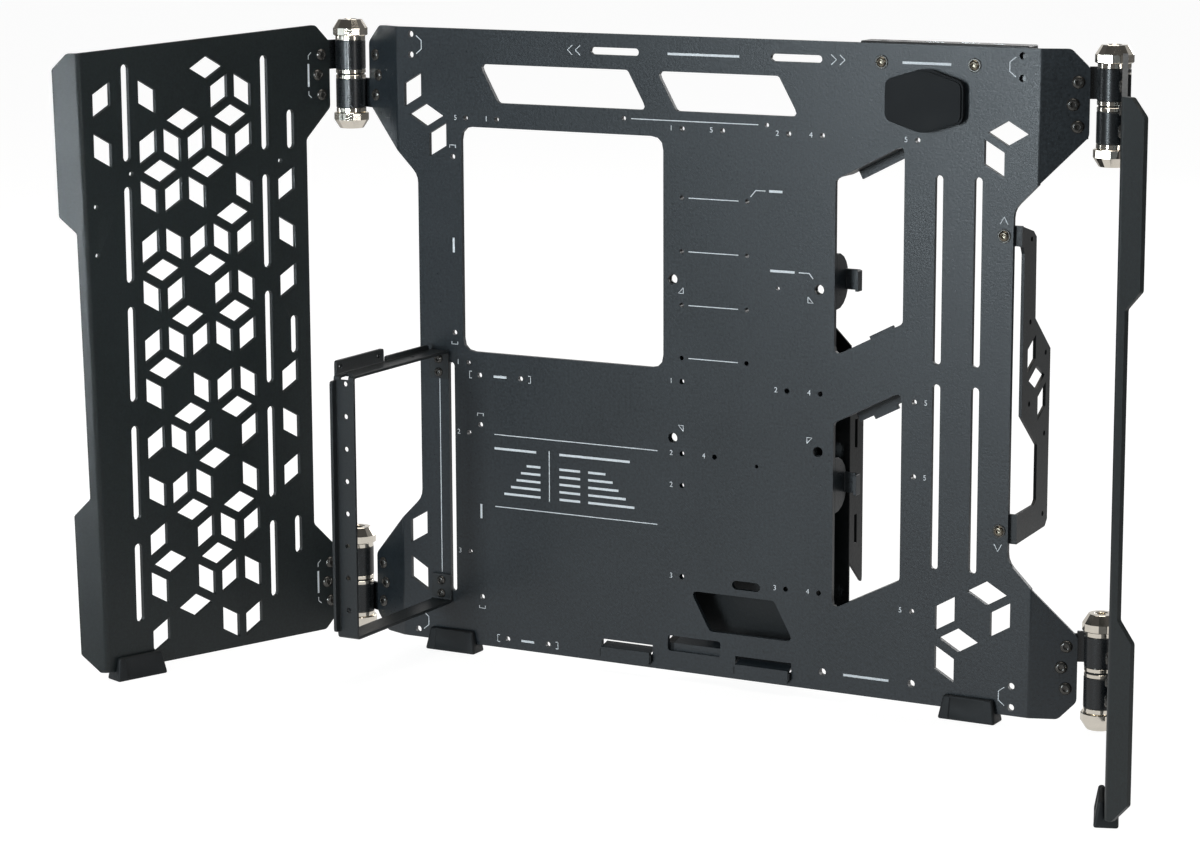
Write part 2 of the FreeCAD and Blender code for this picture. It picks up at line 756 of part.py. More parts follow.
def hinge_cap():
    """Upper cap: ring, band and fluted tip, with a socket and a pin bore."""
    low = KNUCKLE_END
    band = low + CAP_RING_H
    tip = band + CAP_BAND_H
    collar = column(WASHER_R, SLEEVE_SIDES, low, band)
    body = column(CAP_R, CAP_FLUTES, band, tip)
    bore = column(bore_radius(PIN_R, BORE_SIDES), BORE_SIDES, low - 1, tip)
    socket = column(SOCKET_R, 6, tip + CAP_TAPER_H - 2.6, tip + CAP_TAPER_H + 1)
    return fuse([collar, body, fluted_tip(tip)]).cut([bore, socket])


def hinge_caps():
    """Both caps of one hinge."""
    upper = hinge_cap()
    return Part.Compound([upper, upper.mirror(ORIGIN, UP)])


WING_TURN = TAB_ANGLE - 90.0


def on_frame_side(shape, sign):
    """Shape of the axis frame put on the right tab's side."""
    copy = shape.mirror(ORIGIN, RIGHT)
    place = tab_hinge_axis() + UP * (PANEL_MID + sign * HINGE_RISE)
    return turned(copy, TAB_ANGLE, place)


def on_wing_side(shape, sign):
    """Shape of the axis frame put on the right wing's side."""
    place = tab_hinge_axis() + UP * (PANEL_MID + sign * HINGE_RISE)
    return turned(shape, WING_TURN, place)


def hinge_nodes():
    """All pieces of the four hinges, by node name."""
    nodes = {}
    for side in ("right", "left"):
        for level, sign in (("upper", 1), ("lower", -1)):
            name = level + "_" + side
            half = 1 if side == "right" else -1
            pieces = {
                name + "_frame_knuckle": on_frame_side(frame_knuckle(half), sign),
                name + "_wing_knuckle": on_wing_side(wing_knuckle(-half), sign),
                name + "_hinge_pin": on_wing_side(hinge_pin(), sign),
                name + "_hinge_washers": on_wing_side(hinge_washers(), sign),
                name + "_hinge_caps": on_wing_side(hinge_caps(), sign),
                name + "_frame_screws": on_frame_side(leaf_screws(), sign),
                name + "_wing_screws": on_wing_side(leaf_screws(), sign),
            }
            for key, shape in pieces.items():
                nodes[key] = shape if side == "right" else mirrored(shape)
    return nodes


# Wings, in the axis frame: the plate starts AXIS_GAP from the axis

WING_THROUGH = (AXIS_STAND - 1.0, AXIS_STAND + PLATE_T + 1.0)


def wing_point(e, z):
    """Point of a wing's front view, from its hinge edge and the board grid."""
    return (AXIS_GAP + e, GRID_Z + z)


def wing_plate():
    """Flat part of a wing, tabbed at the hinges and cut in at the waist."""
    base = PANEL_BOTTOM
    high = PANEL_TOP
    start = AXIS_GAP
    waist = start + WING_WAIST
    points = [(start + CORNER_CUT, base), (start + WING_FOOT_W, base),
              (start + WING_TOP_W, high - WING_TOP_DROP), (start + CORNER_CUT, high),
              (start, high - CORNER_CUT), (start, high - WING_TAB_H),
              (waist, high - WING_TAB_H - WING_WAIST),
              (waist, base + WING_TAB_H + WING_WAIST),
              (start, base + WING_TAB_H), (start, base + CORNER_CUT)]
    radii = [WING_R, 0, 0] + [WING_R] * 7
    return prism(soft(points, radii), (AXIS_STAND, AXIS_STAND + PLATE_T))


def wing_flange():
    """Outer edge of a wing, folded back and slim in its middle."""
    rise = PANEL_H - WING_TOP_DROP
    run = WING_TOP_W - WING_FOOT_W
    length = math.hypot(rise, run)
    step = FLANGE_WIDE - FLANGE_SLIM
    points = [(0, 0), (FLANGE_WIDE - FLANGE_CUT, 0), (FLANGE_WIDE, FLANGE_CUT),
              (FLANGE_WIDE, 102.0), (FLANGE_SLIM, 102.0 + step),
              (FLANGE_SLIM, length - 111.0), (FLANGE_WIDE, length - 111.0 + step),
              (FLANGE_WIDE, length - 9.5), (FLANGE_WIDE - 9.5, length), (0, length)]
    radii = [0] + [FLANGE_R] * 8 + [0]
    shape = prism(soft(points, radii), (0, PLATE_T))
    shape.rotate(ORIGIN, UP, FLANGE_ANGLE)
    shape.rotate(ORIGIN, BACK, math.degrees(math.atan2(run, rise)))
    shape.translate(Vector(AXIS_GAP + WING_FOOT_W, AXIS_STAND, PANEL_BOTTOM))
    return shape


def wing_slots():
    """Fan slots in two rows, with the short slots and small holes."""
    shapes = []
    for e in (FAN_SLOT_E, FAN_SLOT_E + FAN_PITCH):
        for top, bottom in ((36.7, -18.4), (-39.3, -94.4), (-114.7, -169.8),
                            (-190.4, -245.5), (-266.2, -311.8)):
            shapes.append(plain_slot(wing_point(e, top), wing_point(e, bottom),
                                     SLOT_W, WING_THROUGH))
    for top, bottom in ((0.9, -19.0), (-132.8, -152.3), (-265.8, -285.4)):
        shapes.append(plain_slot(wing_point(32.2, top), wing_point(32.2, bottom),
                                 SLOT_W, WING_THROUGH))
    for e, z in ((154.5, -28.8), (40.8, -28.8), (180.9, -47.5), (180.9, -77.6)):
        shapes.append(plain_hole(wing_point(e, z), 1.6, WING_THROUGH))
    return shapes


def wing_lattice():
    """Cube lattice between the fan slots, with a few faces beside them."""
    faces = []
    for row in range(len(TOP_FACES)):
        z = LATTICE_TOP - ROW * row
        for letter in TOP_FACES[row]:
            index = "abcde".index(letter) + 0.5
            faces.append(("top", LATTICE_E + COLUMN * index, z))
        for letter in SIDE_FACES[row]:
            index = "abcde".index(letter)
            kind = "right" if (index + row) % 2 == 0 else "left"
            faces.append((kind, LATTICE_E + COLUMN * index, z - CELL * 0.75))
    for e, row, kind in ((174.8, 0, "left"), (174.8, 1, "right"),
                         (36.2, 2, "left"), (36.2, 3, "right"), (36.2, 4, "left"),
                         (36.2, 6, "left"), (36.2, 7, "right"), (36.2, 8, "left")):
        faces.append((kind, e, LATTICE_TOP - CELL * 0.75 - ROW * row))
    return [prism(rhombus(kind, *wing_point(e, z)), WING_THROUGH) for kind, e, z in faces]


def wing_screw_holes():
    """Screw holes for both hinges in the wing plate."""
    shapes = []
    for sign in (1, -1):
        for x, z in leaf_screw_points():
            point = (x, PANEL_MID + sign * HINGE_RISE + z)
            shapes.append(plain_hole(point, SCREW_R + SCREW_PLAY, WING_THROUGH))
    return shapes


def wing_bend_edges(plate):
    """Outer edges of the fold between a wing's plate and its flange."""
    lean = (WING_TOP_W - WING_FOOT_W) / (PANEL_H - WING_TOP_DROP)
    found = []
    for edge in plate.Edges:
        spots = [vertex.Point for vertex in edge.Vertexes]
        off = [abs(p.y - AXIS_STAND)
               + abs(p.x - AXIS_GAP - WING_FOOT_W - lean * (p.z - PANEL_BOTTOM)) for p in spots]
        if len(spots) == 2 and max(off) < 0.01 and edge.Length > 20.0:
            found.append(edge)
    return found


def wing_panel():
    """One wing in the axis frame."""
    plate = fuse([wing_plate(), wing_flange()])
    plate = plate.makeFillet(WING_BEND_R, wing_bend_edges(plate))
    return plate.cut(wing_slots() + wing_lattice() + wing_screw_holes())


def right_wing(shape):
    """Shape of the axis frame put in the right wing's place."""
    return turned(shape, WING_TURN, tab_hinge_axis())


def wing_foot():
    """Foot on a wing's lower edge, in the axis frame."""
    return foot(AXIS_GAP + WING_FOOT_E, AXIS_STAND, 0.0)


# Support frame

def frame_screw_points():
    """Places of the two upper and two lower screws of the frame."""
    x = FRAME_X + FRAME_W / 2
    first = FRAME_T + HEAD_R + 0.2
    return ((x, FRAME_TOP - first), (x, FRAME_TOP - first - 8.8),
            (x, FRAME_BOTTOM + first), (x, FRAME_BOTTOM + first + 8.8))


def frame_bent_strip():
    """Strip bent to a U: front upright, two arms and two tabs, with round bends."""
    top = FRAME_TOP
    foot_z = FRAME_BOTTOM
    front = -FRAME_REACH
    t = FRAME_T
    outer = [(0, top - FRAME_TAB_H), (0, top), (front, top), (front, foot_z),
             (0, foot_z), (0, foot_z + FRAME_TAB_H)]
    inner = [(-t, foot_z + FRAME_TAB_H), (-t, foot_z + t), (front + t, foot_z + t),
             (front + t, top - t), (-t, top - t), (-t, top - FRAME_TAB_H)]
    bend = FRAME_BEND_R
    radii = [0, bend, bend, bend, bend, 0, 0] + [bend - t] * 4 + [0]
    return side_prism(soft(outer + inner, radii), (FRAME_X, FRAME_X + FRAME_W))


def frame_flanges():
    """Stiffening edges on the outer side of the upright and the upper arm."""
    x = (FRAME_X, FRAME_X + FRAME_T)
    r = FRAME_EDGE_R
    front = -FRAME_REACH
    lip = [(front - FRAME_LIP, FRAME_BOTTOM + 4.6), (front + FRAME_T, FRAME_BOTTOM + 4.6),
           (front + FRAME_T, FRAME_TOP - 3.6), (front - FRAME_LIP, FRAME_TOP - 3.6)]
    ear = [(front + 1.0, FRAME_TOP - FRAME_T), (front + FRAME_EAR_L, FRAME_TOP - FRAME_T),
           (front + FRAME_EAR_L, FRAME_TOP + FRAME_EAR_H), (front + 1.0, FRAME_TOP + FRAME_EAR_H)]
    start = front + FRAME_EAR_L + FRAME_EAR_GAP
    end = -FRAME_T - FRAME_BEND_R
    rim = [(start, FRAME_TOP - FRAME_T), (end, FRAME_TOP - FRAME_T),
           (end, FRAME_TOP + FRAME_RIM_H), (start, FRAME_TOP + FRAME_RIM_H)]
    return [side_prism(soft(lip, [r, 0, 0, r]), x), side_prism(soft(ear, [0, 0, r, r]), x),
            side_prism(soft(rim, [0, 0, r, r]), x)]


def frame_holes():
    """Row of holes in the upright, with the arm's and the tabs' holes."""
    x = FRAME_X + FRAME_W * 0.57
    y = (-FRAME_REACH - 1, FRAME_T - FRAME_REACH + 1)
    shapes = []
    for i in range(FRAME_HOLES):
        shapes.append(plain_hole((x, FRAME_TOP - 5.5 - FRAME_PITCH * i), FRAME_HOLE_R, y))
    for point in frame_screw_points():
        shapes.append(plain_hole(point, SCREW_R + SCREW_PLAY, (-FRAME_T - 1, 1)))
    for along in (5.6, 49.3):
        shapes.append(side_hole(along - FRAME_REACH, FRAME_TOP + 4.4, 1.5,
                                (FRAME_X - 1, FRAME_X + FRAME_T + 1)))
    arm_hole = column(1.5, HOLE_SIDES, FRAME_TOP - FRAME_T - 1, FRAME_TOP + 1)
    arm_hole.translate(Vector(FRAME_X + FRAME_W * 0.55, -35.0, 0))
    corner_slot = box((FRAME_X + 4.6, FRAME_X + 10.6), (-FRAME_REACH - 1, -FRAME_REACH + 7.5),
                      (FRAME_TOP - FRAME_T - 1.0, FRAME_TOP + 1))
    return shapes + [arm_hole, corner_slot]


def supply_frame():
    """The support frame with its edges and holes."""
    return fuse([frame_bent_strip()] + frame_flanges()).cut(frame_holes())


def supply_frame_screws():
    """Four screws that hold the frame on the panel."""
    depth = FRAME_T + PLATE_T
    screws = [button_screw(p, -FRAME_T, depth, SMALL_HEAD_R) for p in frame_screw_points()]
    return Part.Compound(screws)


# Side bracket

def side_point(y, z):
    """Point of the bracket's side view."""
    return Vector(SIDE_X, y, GRID_Z + z)


def side_bracket():
    """Plate square to the panel, with two arms that lap behind its edge."""
    points = [(PLATE_T, -47.7), (21.6, -52.6), (26.4, -56.5), (27.0, -105.5),
              (52.4, -127.0), (52.4, -232.0), (48.8, -236.1), (PLATE_T, -238.6),
              (PLATE_T, -220.7), (30.5, -219.6), (33.4, -217.0), (33.4, -183.3),
              (7.4, -161.8), (7.4, -64.7), (5.4, -60.6), (PLATE_T, -59.8)]
    corners = [side_point(y, z) for y, z in points]
    plate = Part.Face(Part.makePolygon(corners + corners[:1])).extrude(RIGHT * -SIDE_T)
    x = (SIDE_X - SIDE_LAP, SIDE_X)
    y = (PLATE_T, PLATE_T + SIDE_T)
    upper = box(x, y, (GRID_Z - 59.8, GRID_Z - 47.7))
    lower = box(x, y, (GRID_Z - 238.6, GRID_Z - 220.7))
    holes = [plain_hole((SIDE_SCREW_X, z), SCREW_R + SCREW_PLAY, (0, 10)) for z in SIDE_SCREW_Z]
    return fuse([plate, upper, lower]).cut(holes + side_bracket_cuts())


def side_bracket_cuts():
    """Small holes and the three lattice faces of the bracket."""
    shapes = []
    start = SIDE_X - SIDE_T - 1
    for y, z in ((18.7, -57.1), (18.7, -106.6), (19.2, -156.1),
                 (44.6, -128.5), (44.6, -178.0), (44.6, -227.5)):
        shapes.append(side_hole(y, GRID_Z + z, 1.7, (start, SIDE_X + 1)))
    for kind, y, z in (("right", 22.0, -126.4), ("top", 30.7, -142.0),
                       ("right", 39.4, -157.6)):
        corners = [Vector(start, u, GRID_Z + v) for u, v in rhombus(kind, y, z)]
        face = Part.Face(Part.makePolygon(corners + corners[:1]))
        shapes.append(face.extrude(RIGHT * (SIDE_T + 2)))
    return shapes


def side_bracket_screws():
    """Two screws through the panel into the bracket's laps."""
    depth = PLATE_T + SIDE_T
    screws = [button_screw((SIDE_SCREW_X, z), 0.0, depth) for z in SIDE_SCREW_Z]
    return Part.Compound(screws)


# Drive tray

def tray_post_points():
    """Places of the four posts between the panel and the tray."""
    left = TRAY_RIGHT - TRAY_W + 16.0
    right = TRAY_RIGHT - 26.0
    return [(x, z) for x in (left, right) for z in (TRAY_TOP - 62.0, TRAY_BOTTOM + 56.0)]


def drive_tray():
    """Folded tray: back plate with cut corners and two slotted flanges."""
    left = TRAY_RIGHT - TRAY_W
    y = (TRAY_Y, TRAY_Y + TRAY_T)
    plate = prism(tray_outline(left), y)
    high = TRAY_TOP - TRAY_CUT - 4.0
    base = TRAY_BOTTOM + 56.5
    rear = TRAY_Y + TRAY_FLANGE
    parts = [plate]
    outline = soft([(TRAY_Y, base), (rear, base - 17.8), (rear, high), (TRAY_Y, high)],
                   [0, 2.0, 4.0, 0])
    for x in (left, TRAY_RIGHT - TRAY_T):
        parts.append(side_prism(outline, (x, x + TRAY_T)))
        start = x if x == left else x - TRAY_LIP
        parts.append(box((start, start + TRAY_T + TRAY_LIP), (rear - TRAY_T, rear),
                         (base, high - 6.0)))
    y = (TRAY_Y - 1, TRAY_Y + TRAY_T + 1)
    holes = [plain_hole(p, SCREW_R + SCREW_PLAY, y) for p in tray_post_points()]
    return fuse(parts).cut(holes + tray_slots(left))


def tray_outline(left):
    """Outline of the tray's plate: four cut corners and a tab below."""
    cut = TRAY_CUT
    tab = (TRAY_TAB_X - TRAY_TAB_W / 2, TRAY_TAB_X + TRAY_TAB_W / 2)
    return [(left + cut, TRAY_BOTTOM), (tab[0], TRAY_BOTTOM), (tab[0], TRAY_BOTTOM - TRAY_TAB_H),
            (tab[1], TRAY_BOTTOM - TRAY_TAB_H), (tab[1], TRAY_BOTTOM),
            (TRAY_RIGHT - cut, TRAY_BOTTOM), (TRAY_RIGHT, TRAY_BOTTOM + cut),
            (TRAY_RIGHT, TRAY_TOP - cut), (TRAY_RIGHT - cut, TRAY_TOP),
            (left + cut, TRAY_TOP), (left, TRAY_TOP - cut), (left, TRAY_BOTTOM + cut)]


def tray_slots(left):
    """Two upright drive slots in each flange of the tray."""
    shapes = []
    middle = TRAY_Y + DRIVE_SLOT_Y
    for x in (left - 1, TRAY_RIGHT - TRAY_T - 1):
        for z in (TRAY_TOP - DRIVE_SLOT_DROP, TRAY_TOP - DRIVE_SLOT_DROP - DRIVE_PITCH):
            shapes.append(box((x, x + TRAY_T + 2), (middle - 1.8, middle + 1.8),
                              (z - 9.0, z + 9.0)))
    return shapes


def tray_posts():
    """Four posts fixed to the panel's back, bored for the tray's screws."""
    posts = []
    for point in tray_post_points():
        post = plain_hole(point, POST_R, (PLATE_T, TRAY_Y))
        posts.append(post.cut(plain_hole(point, SCREW_R + SCREW_PLAY, (TRAY_Y - 6.0, TRAY_Y + 1))))
    return Part.Compound(posts)


def tray_screws():
    """Four screws from the back into the posts."""
    screws = []
    for x, z in tray_post_points():
        screw = button_screw((x, z), 0.0, 7.0)
        screw.rotate(Vector(x, 0, z), UP, 180)
        screw.translate(Vector(0, TRAY_Y + TRAY_T, 0))
        screws.append(screw)
    return Part.Compound(screws)


# Connection box and power button

BOX_TOP = PANEL_TOP + BOX_RISE
PORT_Y = PLATE_T + BOX_D * 0.52
USB_X = (BOX_X + 44.0, BOX_X + 66.0)
USB_C_X = BOX_X + 85.0
JACK_X = (BOX_X + 12.0, BOX_X + 25.0)
USB_SIZE = (13.4, 5.8)
USB_C_SIZE = (9.4, 3.6)
JACK_R = 3.6
JACK_BORE_R = 1.8
PORT_DEEP = 9.0


def box_screw_points():
    """Two screws that hold the connection box."""
    return (grid(288.2, 45.5), grid(347.5, 45.5))


def port_block(x, size, deep):
    """Upright block at a port's place, open at the top of the box."""
    return box((x - size[0] / 2, x + size[0] / 2), (PORT_Y - size[1] / 2, PORT_Y + size[1] / 2),
               (BOX_TOP - deep, BOX_TOP))


def jack_column(x, radius, low):
    """Many sided column at a jack's place, up to the top of the box."""
    shape = column(radius, BORE_SIDES, low, BOX_TOP)
    shape.translate(Vector(x, PORT_Y, 0))
    return shape


def connection_box():
    """Housing behind the panel with recesses for the ports and the stem."""
    y = (PLATE_T, PLATE_T + BOX_D)
    shell = box((BOX_X, BOX_X + BOX_W), y, (BOX_TOP - BOX_H, BOX_TOP))
    cuts = [port_block(x, USB_SIZE, PORT_DEEP) for x in USB_X]
    cuts.append(port_block(USB_C_X, USB_C_SIZE, PORT_DEEP))
    for x in JACK_X:
        cuts.append(jack_column(x, JACK_R, BOX_TOP - PORT_DEEP))
    cuts.append(hole((BUTTON_X, BUTTON_Z), STEM_R + STEM_PLAY, (0, PLATE_T + STEM_DEEP + 2.0)))
    for point in box_screw_points():
        cuts.append(plain_hole(point, SCREW_R + SCREW_PLAY, (0, PLATE_T + 6.0)))
    return shell.cut(cuts)


def usb_ports():
    """Two wide ports: metal sleeve with a tongue inside."""
    parts = []
    for x in USB_X:
        sleeve = port_block(x, USB_SIZE, PORT_DEEP)
        hollow = port_block(x, (USB_SIZE[0] - 1.0, USB_SIZE[1] - 1.0), PORT_DEEP - 1.0)
        tongue = box((x - 5.4, x + 5.4), (PORT_Y - 0.1, PORT_Y + 1.6),
                     (BOX_TOP - PORT_DEEP, BOX_TOP - 1.0))
        parts.append(fuse([sleeve.cut(hollow), tongue]))
    return Part.Compound(parts)


def usb_c_port():
    """Slim port with its tongue."""
    sleeve = port_block(USB_C_X, USB_C_SIZE, PORT_DEEP)
    hollow = port_block(USB_C_X, (USB_C_SIZE[0] - 0.8, USB_C_SIZE[1] - 0.8), PORT_DEEP - 1.0)
    tongue = box((USB_C_X - 3.2, USB_C_X + 3.2), (PORT_Y - 0.35, PORT_Y + 0.35),
                 (BOX_TOP - PORT_DEEP, BOX_TOP - 1.2))
    return fuse([sleeve.cut(hollow), tongue])


def audio_jacks():
    """Two round jacks, each a ring in its recess."""
    jacks = []
    for x in JACK_X:
        low = BOX_TOP - PORT_DEEP
        jacks.append(jack_column(x, JACK_R, low).cut(jack_column(x, JACK_BORE_R, low + 1.0)))
    return Part.Compound(jacks)


def box_screws():
    """Screws through the panel into the connection box."""
    screws = [button_screw(p, 0.0, PLATE_T + 5.0) for p in box_screw_points()]
    return Part.Compound(screws)


def button_outline(grow):
    """Six sided outline of the button, upright sides and blunt tips, grown by a margin."""
    wide = BUTTON_W / 2 + grow
    tall = BUTTON_H / 2 + grow
    flat = wide * 0.14
    side = tall * 0.64
    return [(BUTTON_X + x, BUTTON_Z + z) for x, z in
            ((-flat, -tall), (flat, -tall), (wide, -side), (wide, side),
             (flat, tall), (-flat, tall), (-wide, side), (-wide, -side))]


def power_button():
    """Wide push button in front of the panel, on a round stem."""
    back = -BUTTON_STAND - BUTTON_TRAVEL
    front = back - BUTTON_D
    rim = 1.2
    skirt = prism(soft(button_outline(0.0), [8.0, 8.0, 5.5, 5.5] * 2), (front + rim, back))
    face = prism(soft(button_outline(-rim), [8.0, 8.0, 4.8, 4.8] * 2), (front, front + rim))
    stem = Part.makeCylinder(STEM_R, STEM_DEEP - back - BUTTON_TRAVEL + PLATE_T,
                             Vector(BUTTON_X, back, BUTTON_Z), BACK)
    return fuse([skirt, face, stem])


def all_nodes():
    """Every node of the bench, by name, in its place."""
    wing = right_wing(wing_panel())
    rubber = right_wing(wing_foot())
    nodes = {
        "main_panel": main_panel(),
        "cable_hooks": cable_hooks(),
        "right_wing_panel": wing,
        "left_wing_panel": mirrored(wing),
        "right_foot": foot(FOOT_X, 0.0, 0.0),
        "left_foot": foot(-FOOT_X, 0.0, 0.0),
        "right_wing_foot": rubber,
        "left_wing_foot": mirrored(rubber),
        "supply_frame": supply_frame(),
        "supply_frame_screws": supply_frame_screws(),
        "side_bracket": side_bracket(),
        "side_bracket_screws": side_bracket_screws(),
        "drive_tray": drive_tray(),
        "drive_tray_posts": tray_posts(),
        "drive_tray_screws": tray_screws(),
        "connection_box": connection_box(),
        "connection_box_screws": box_screws(),
        "usb_ports": usb_ports(),
        "usb_c_port": usb_c_port(),
        "audio_jacks": audio_jacks(),
        "power_button": power_button(),
    }
    nodes.update(hinge_nodes())
    return nodes


def depth_middle(nodes):
    """Half way between the foremost and the rearmost point of the bench."""
    boxes = [shape.BoundBox for shape in nodes.values()]
    return (min(b.YMin for b in boxes) + max(b.YMax for b in boxes)) / 2


def main():
    """Write one STEP file for each node, with the bench centred in depth."""
    os.makedirs("parts", exist_ok=True)
    nodes = all_nodes()
    middle = depth_middle(nodes)
    for name, shape in nodes.items():
        shape.translate(BACK * -middle)
        shape.exportStep("parts/" + name + ".step")


main()
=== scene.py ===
"""Dressed model of an open air test bench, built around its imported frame.

Sizes are in millimetres, and meshes are made in metres in the frame's own axes:
+X to the right along the panel, +Y to its back and +Z up from the table.
"""

import json
import logging
import math
from collections.abc import Mapping, Sequence
from dataclasses import dataclass, field
from enum import Enum
from typing import Any

import bmesh
import bpy
from mathutils import Matrix, Vector

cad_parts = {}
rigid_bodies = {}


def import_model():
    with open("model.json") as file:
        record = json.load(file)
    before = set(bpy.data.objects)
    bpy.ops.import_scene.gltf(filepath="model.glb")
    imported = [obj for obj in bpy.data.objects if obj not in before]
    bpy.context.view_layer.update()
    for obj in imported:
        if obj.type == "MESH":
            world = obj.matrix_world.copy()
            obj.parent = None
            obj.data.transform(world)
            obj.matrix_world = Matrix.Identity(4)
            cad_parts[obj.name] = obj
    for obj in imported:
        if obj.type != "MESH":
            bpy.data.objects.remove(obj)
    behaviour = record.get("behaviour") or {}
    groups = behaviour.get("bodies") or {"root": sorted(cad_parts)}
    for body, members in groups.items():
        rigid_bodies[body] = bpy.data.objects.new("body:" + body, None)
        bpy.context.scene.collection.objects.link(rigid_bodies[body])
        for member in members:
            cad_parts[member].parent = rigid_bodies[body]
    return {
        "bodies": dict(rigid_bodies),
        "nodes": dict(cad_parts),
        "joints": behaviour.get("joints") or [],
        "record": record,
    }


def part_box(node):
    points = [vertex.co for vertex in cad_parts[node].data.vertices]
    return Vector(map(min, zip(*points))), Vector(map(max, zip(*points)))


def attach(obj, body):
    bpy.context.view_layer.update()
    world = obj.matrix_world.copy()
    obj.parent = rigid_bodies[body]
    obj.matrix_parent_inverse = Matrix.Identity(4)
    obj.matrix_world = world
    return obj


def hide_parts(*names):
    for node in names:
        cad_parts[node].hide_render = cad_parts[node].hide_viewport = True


LOG = logging.getLogger("test_bench")
MM = 0.001
INCH = 25.4

# Distances in metres under which points are one, or lie in a plane

SAME_POINT = 1e-6
IN_CUT = 1e-7
ON_FACE = 2e-5

# Angles of the steel, in degrees from the panel's plane

TAB_LEAN = 20.0
WING_LEAN = -70.0

# Angles in degrees up to which faces are one flat, and from which an edge is crisp or rounded

ONE_FLAT = 1.0
CRISP = 20.0
ROUNDED = 40.0

# Columns and rows of the panel's holes, in millimetres from its upper left board hole

COLUMNS = (0.0, 0.9 * INCH, 6.1 * INCH, 7.0 * INCH, 182.6, 8.95 * INCH, 249.8, 312.0)
ROWS = (0.0, -6.2 * INCH, -8.0 * INCH, -223.5, -11.1 * INCH, -286.5)
DRIVE_COLUMNS = (154.8, 199.7)
DRIVE_ROWS = (-42.5, -75.8, -109.3, -142.5)
STAND_COLUMNS = (148.5, 248.5)
STAND_ROWS = (-93.6, -193.6)
PORT_COLUMNS = (252.8, 312.4)
PORT_ROW = -331.7

# Board holes, as numbers of column and row, by the figure that is printed beside them

BOARD_SPOTS = {
    "1": ((1, 0), (2, 0), (0, 1), (2, 1)),
    "2": ((5, 0), (5, 1), (0, 2), (2, 2), (2, 3)),
    "3": ((0, 4), (2, 4), (5, 4)),
    "4": ((6, 0), (6, 1), (3, 2), (6, 4)),
    "5": ((0, 0), (4, 0), (7, 0), (7, 1), (7, 2), (7, 5))}
BOARD_HOLES = {figure: tuple((COLUMNS[column], ROWS[row]) for column, row in spots)
               for figure, spots in BOARD_SPOTS.items()}

Colour = tuple[float, float, float]
Place = tuple[float, float, float]
Point = tuple[float, float]


# Node graphs


class Sock:
    """A number socket on which sums are written as Python expressions."""

    def __init__(self, graph: "Graph", out: bpy.types.NodeSocket) -> None:
        """Keeps the socket with the graph that it belongs to."""
        self.graph = graph
        self.out = out

    def _sum(self, operation: str, first: Any, second: Any) -> "Sock":
        """A Math node with those two inputs, each a value or a socket."""
        made = self.graph.node("ShaderNodeMath", {"operation": operation}, {0: first, 1: second})
        return Sock(self.graph, made.outputs[0])

    def __add__(self, other: Any) -> "Sock":
        """Socket plus other."""
        return self._sum("ADD", self, other)

    def __radd__(self, other: Any) -> "Sock":
        """Other plus socket."""
        return self._sum("ADD", other, self)

    def __sub__(self, other: Any) -> "Sock":
        """Socket minus other."""
        return self._sum("SUBTRACT", self, other)

    def __rsub__(self, other: Any) -> "Sock":
        """Other minus socket."""
        return self._sum("SUBTRACT", other, self)

    def __mul__(self, other: Any) -> "Sock":
        """Socket times other."""
        return self._sum("MULTIPLY", self, other)

    def __rmul__(self, other: Any) -> "Sock":
        """Other times socket."""
        return self._sum("MULTIPLY", other, self)

    def __truediv__(self, other: Any) -> "Sock":
        """Socket over other."""
        return self._sum("DIVIDE", self, other)

    def __rtruediv__(self, other: Any) -> "Sock":
        """Other over socket."""
        return self._sum("DIVIDE", other, self)

    def __mod__(self, other: Any) -> "Sock":
        """Remainder of socket over other, never negative."""
        return self._sum("FLOORED_MODULO", self, other)

    def least(self, other: Any) -> "Sock":
        """The smaller of the two."""
        return self._sum("MINIMUM", self, other)

    def most(self, other: Any) -> "Sock":
        """The larger of the two."""
        return self._sum("MAXIMUM", self, other)

    def call(self, operation: str) -> "Sock":
        """A Math node of one input, such as COSINE or ABSOLUTE."""
        made = self.graph.node("ShaderNodeMath", {"operation": operation}, {0: self})
        return Sock(self.graph, made.outputs[0])


class Graph:
    """Adds nodes to one tree."""

    def __init__(self, tree: bpy.types.NodeTree) -> None:
        """Keeps the tree."""
        self.tree = tree

    def node(self, kind: str, settings: Mapping[str, Any] | None = None,
             inputs: Mapping[str | int, Any] | None = None) -> bpy.types.Node:
        """Adds a node of any type.

        Args:
            kind: the node's type name.
            settings: its settings, which are set first.
            inputs: values or links, by the socket's name or index.

        Returns:
            The node.
        """
        made = self.tree.nodes.new(kind)
        for name, value in (settings or {}).items():
            setattr(made, name, value)
        for key, value in (inputs or {}).items():
            value = value.out if isinstance(value, Sock) else value
            if isinstance(value, bpy.types.NodeSocket):
                self.tree.links.new(value, made.inputs[key])
            else:
                made.inputs[key].default_value = value
        return made

    def number(self, kind: str, settings: Mapping[str, Any] | None = None,
               inputs: Mapping[str | int, Any] | None = None, output: str | int = 0) -> Sock:
        """The named output of a new node, wrapped as a number."""
        return Sock(self, self.node(kind, settings, inputs).outputs[output])


# Finishes


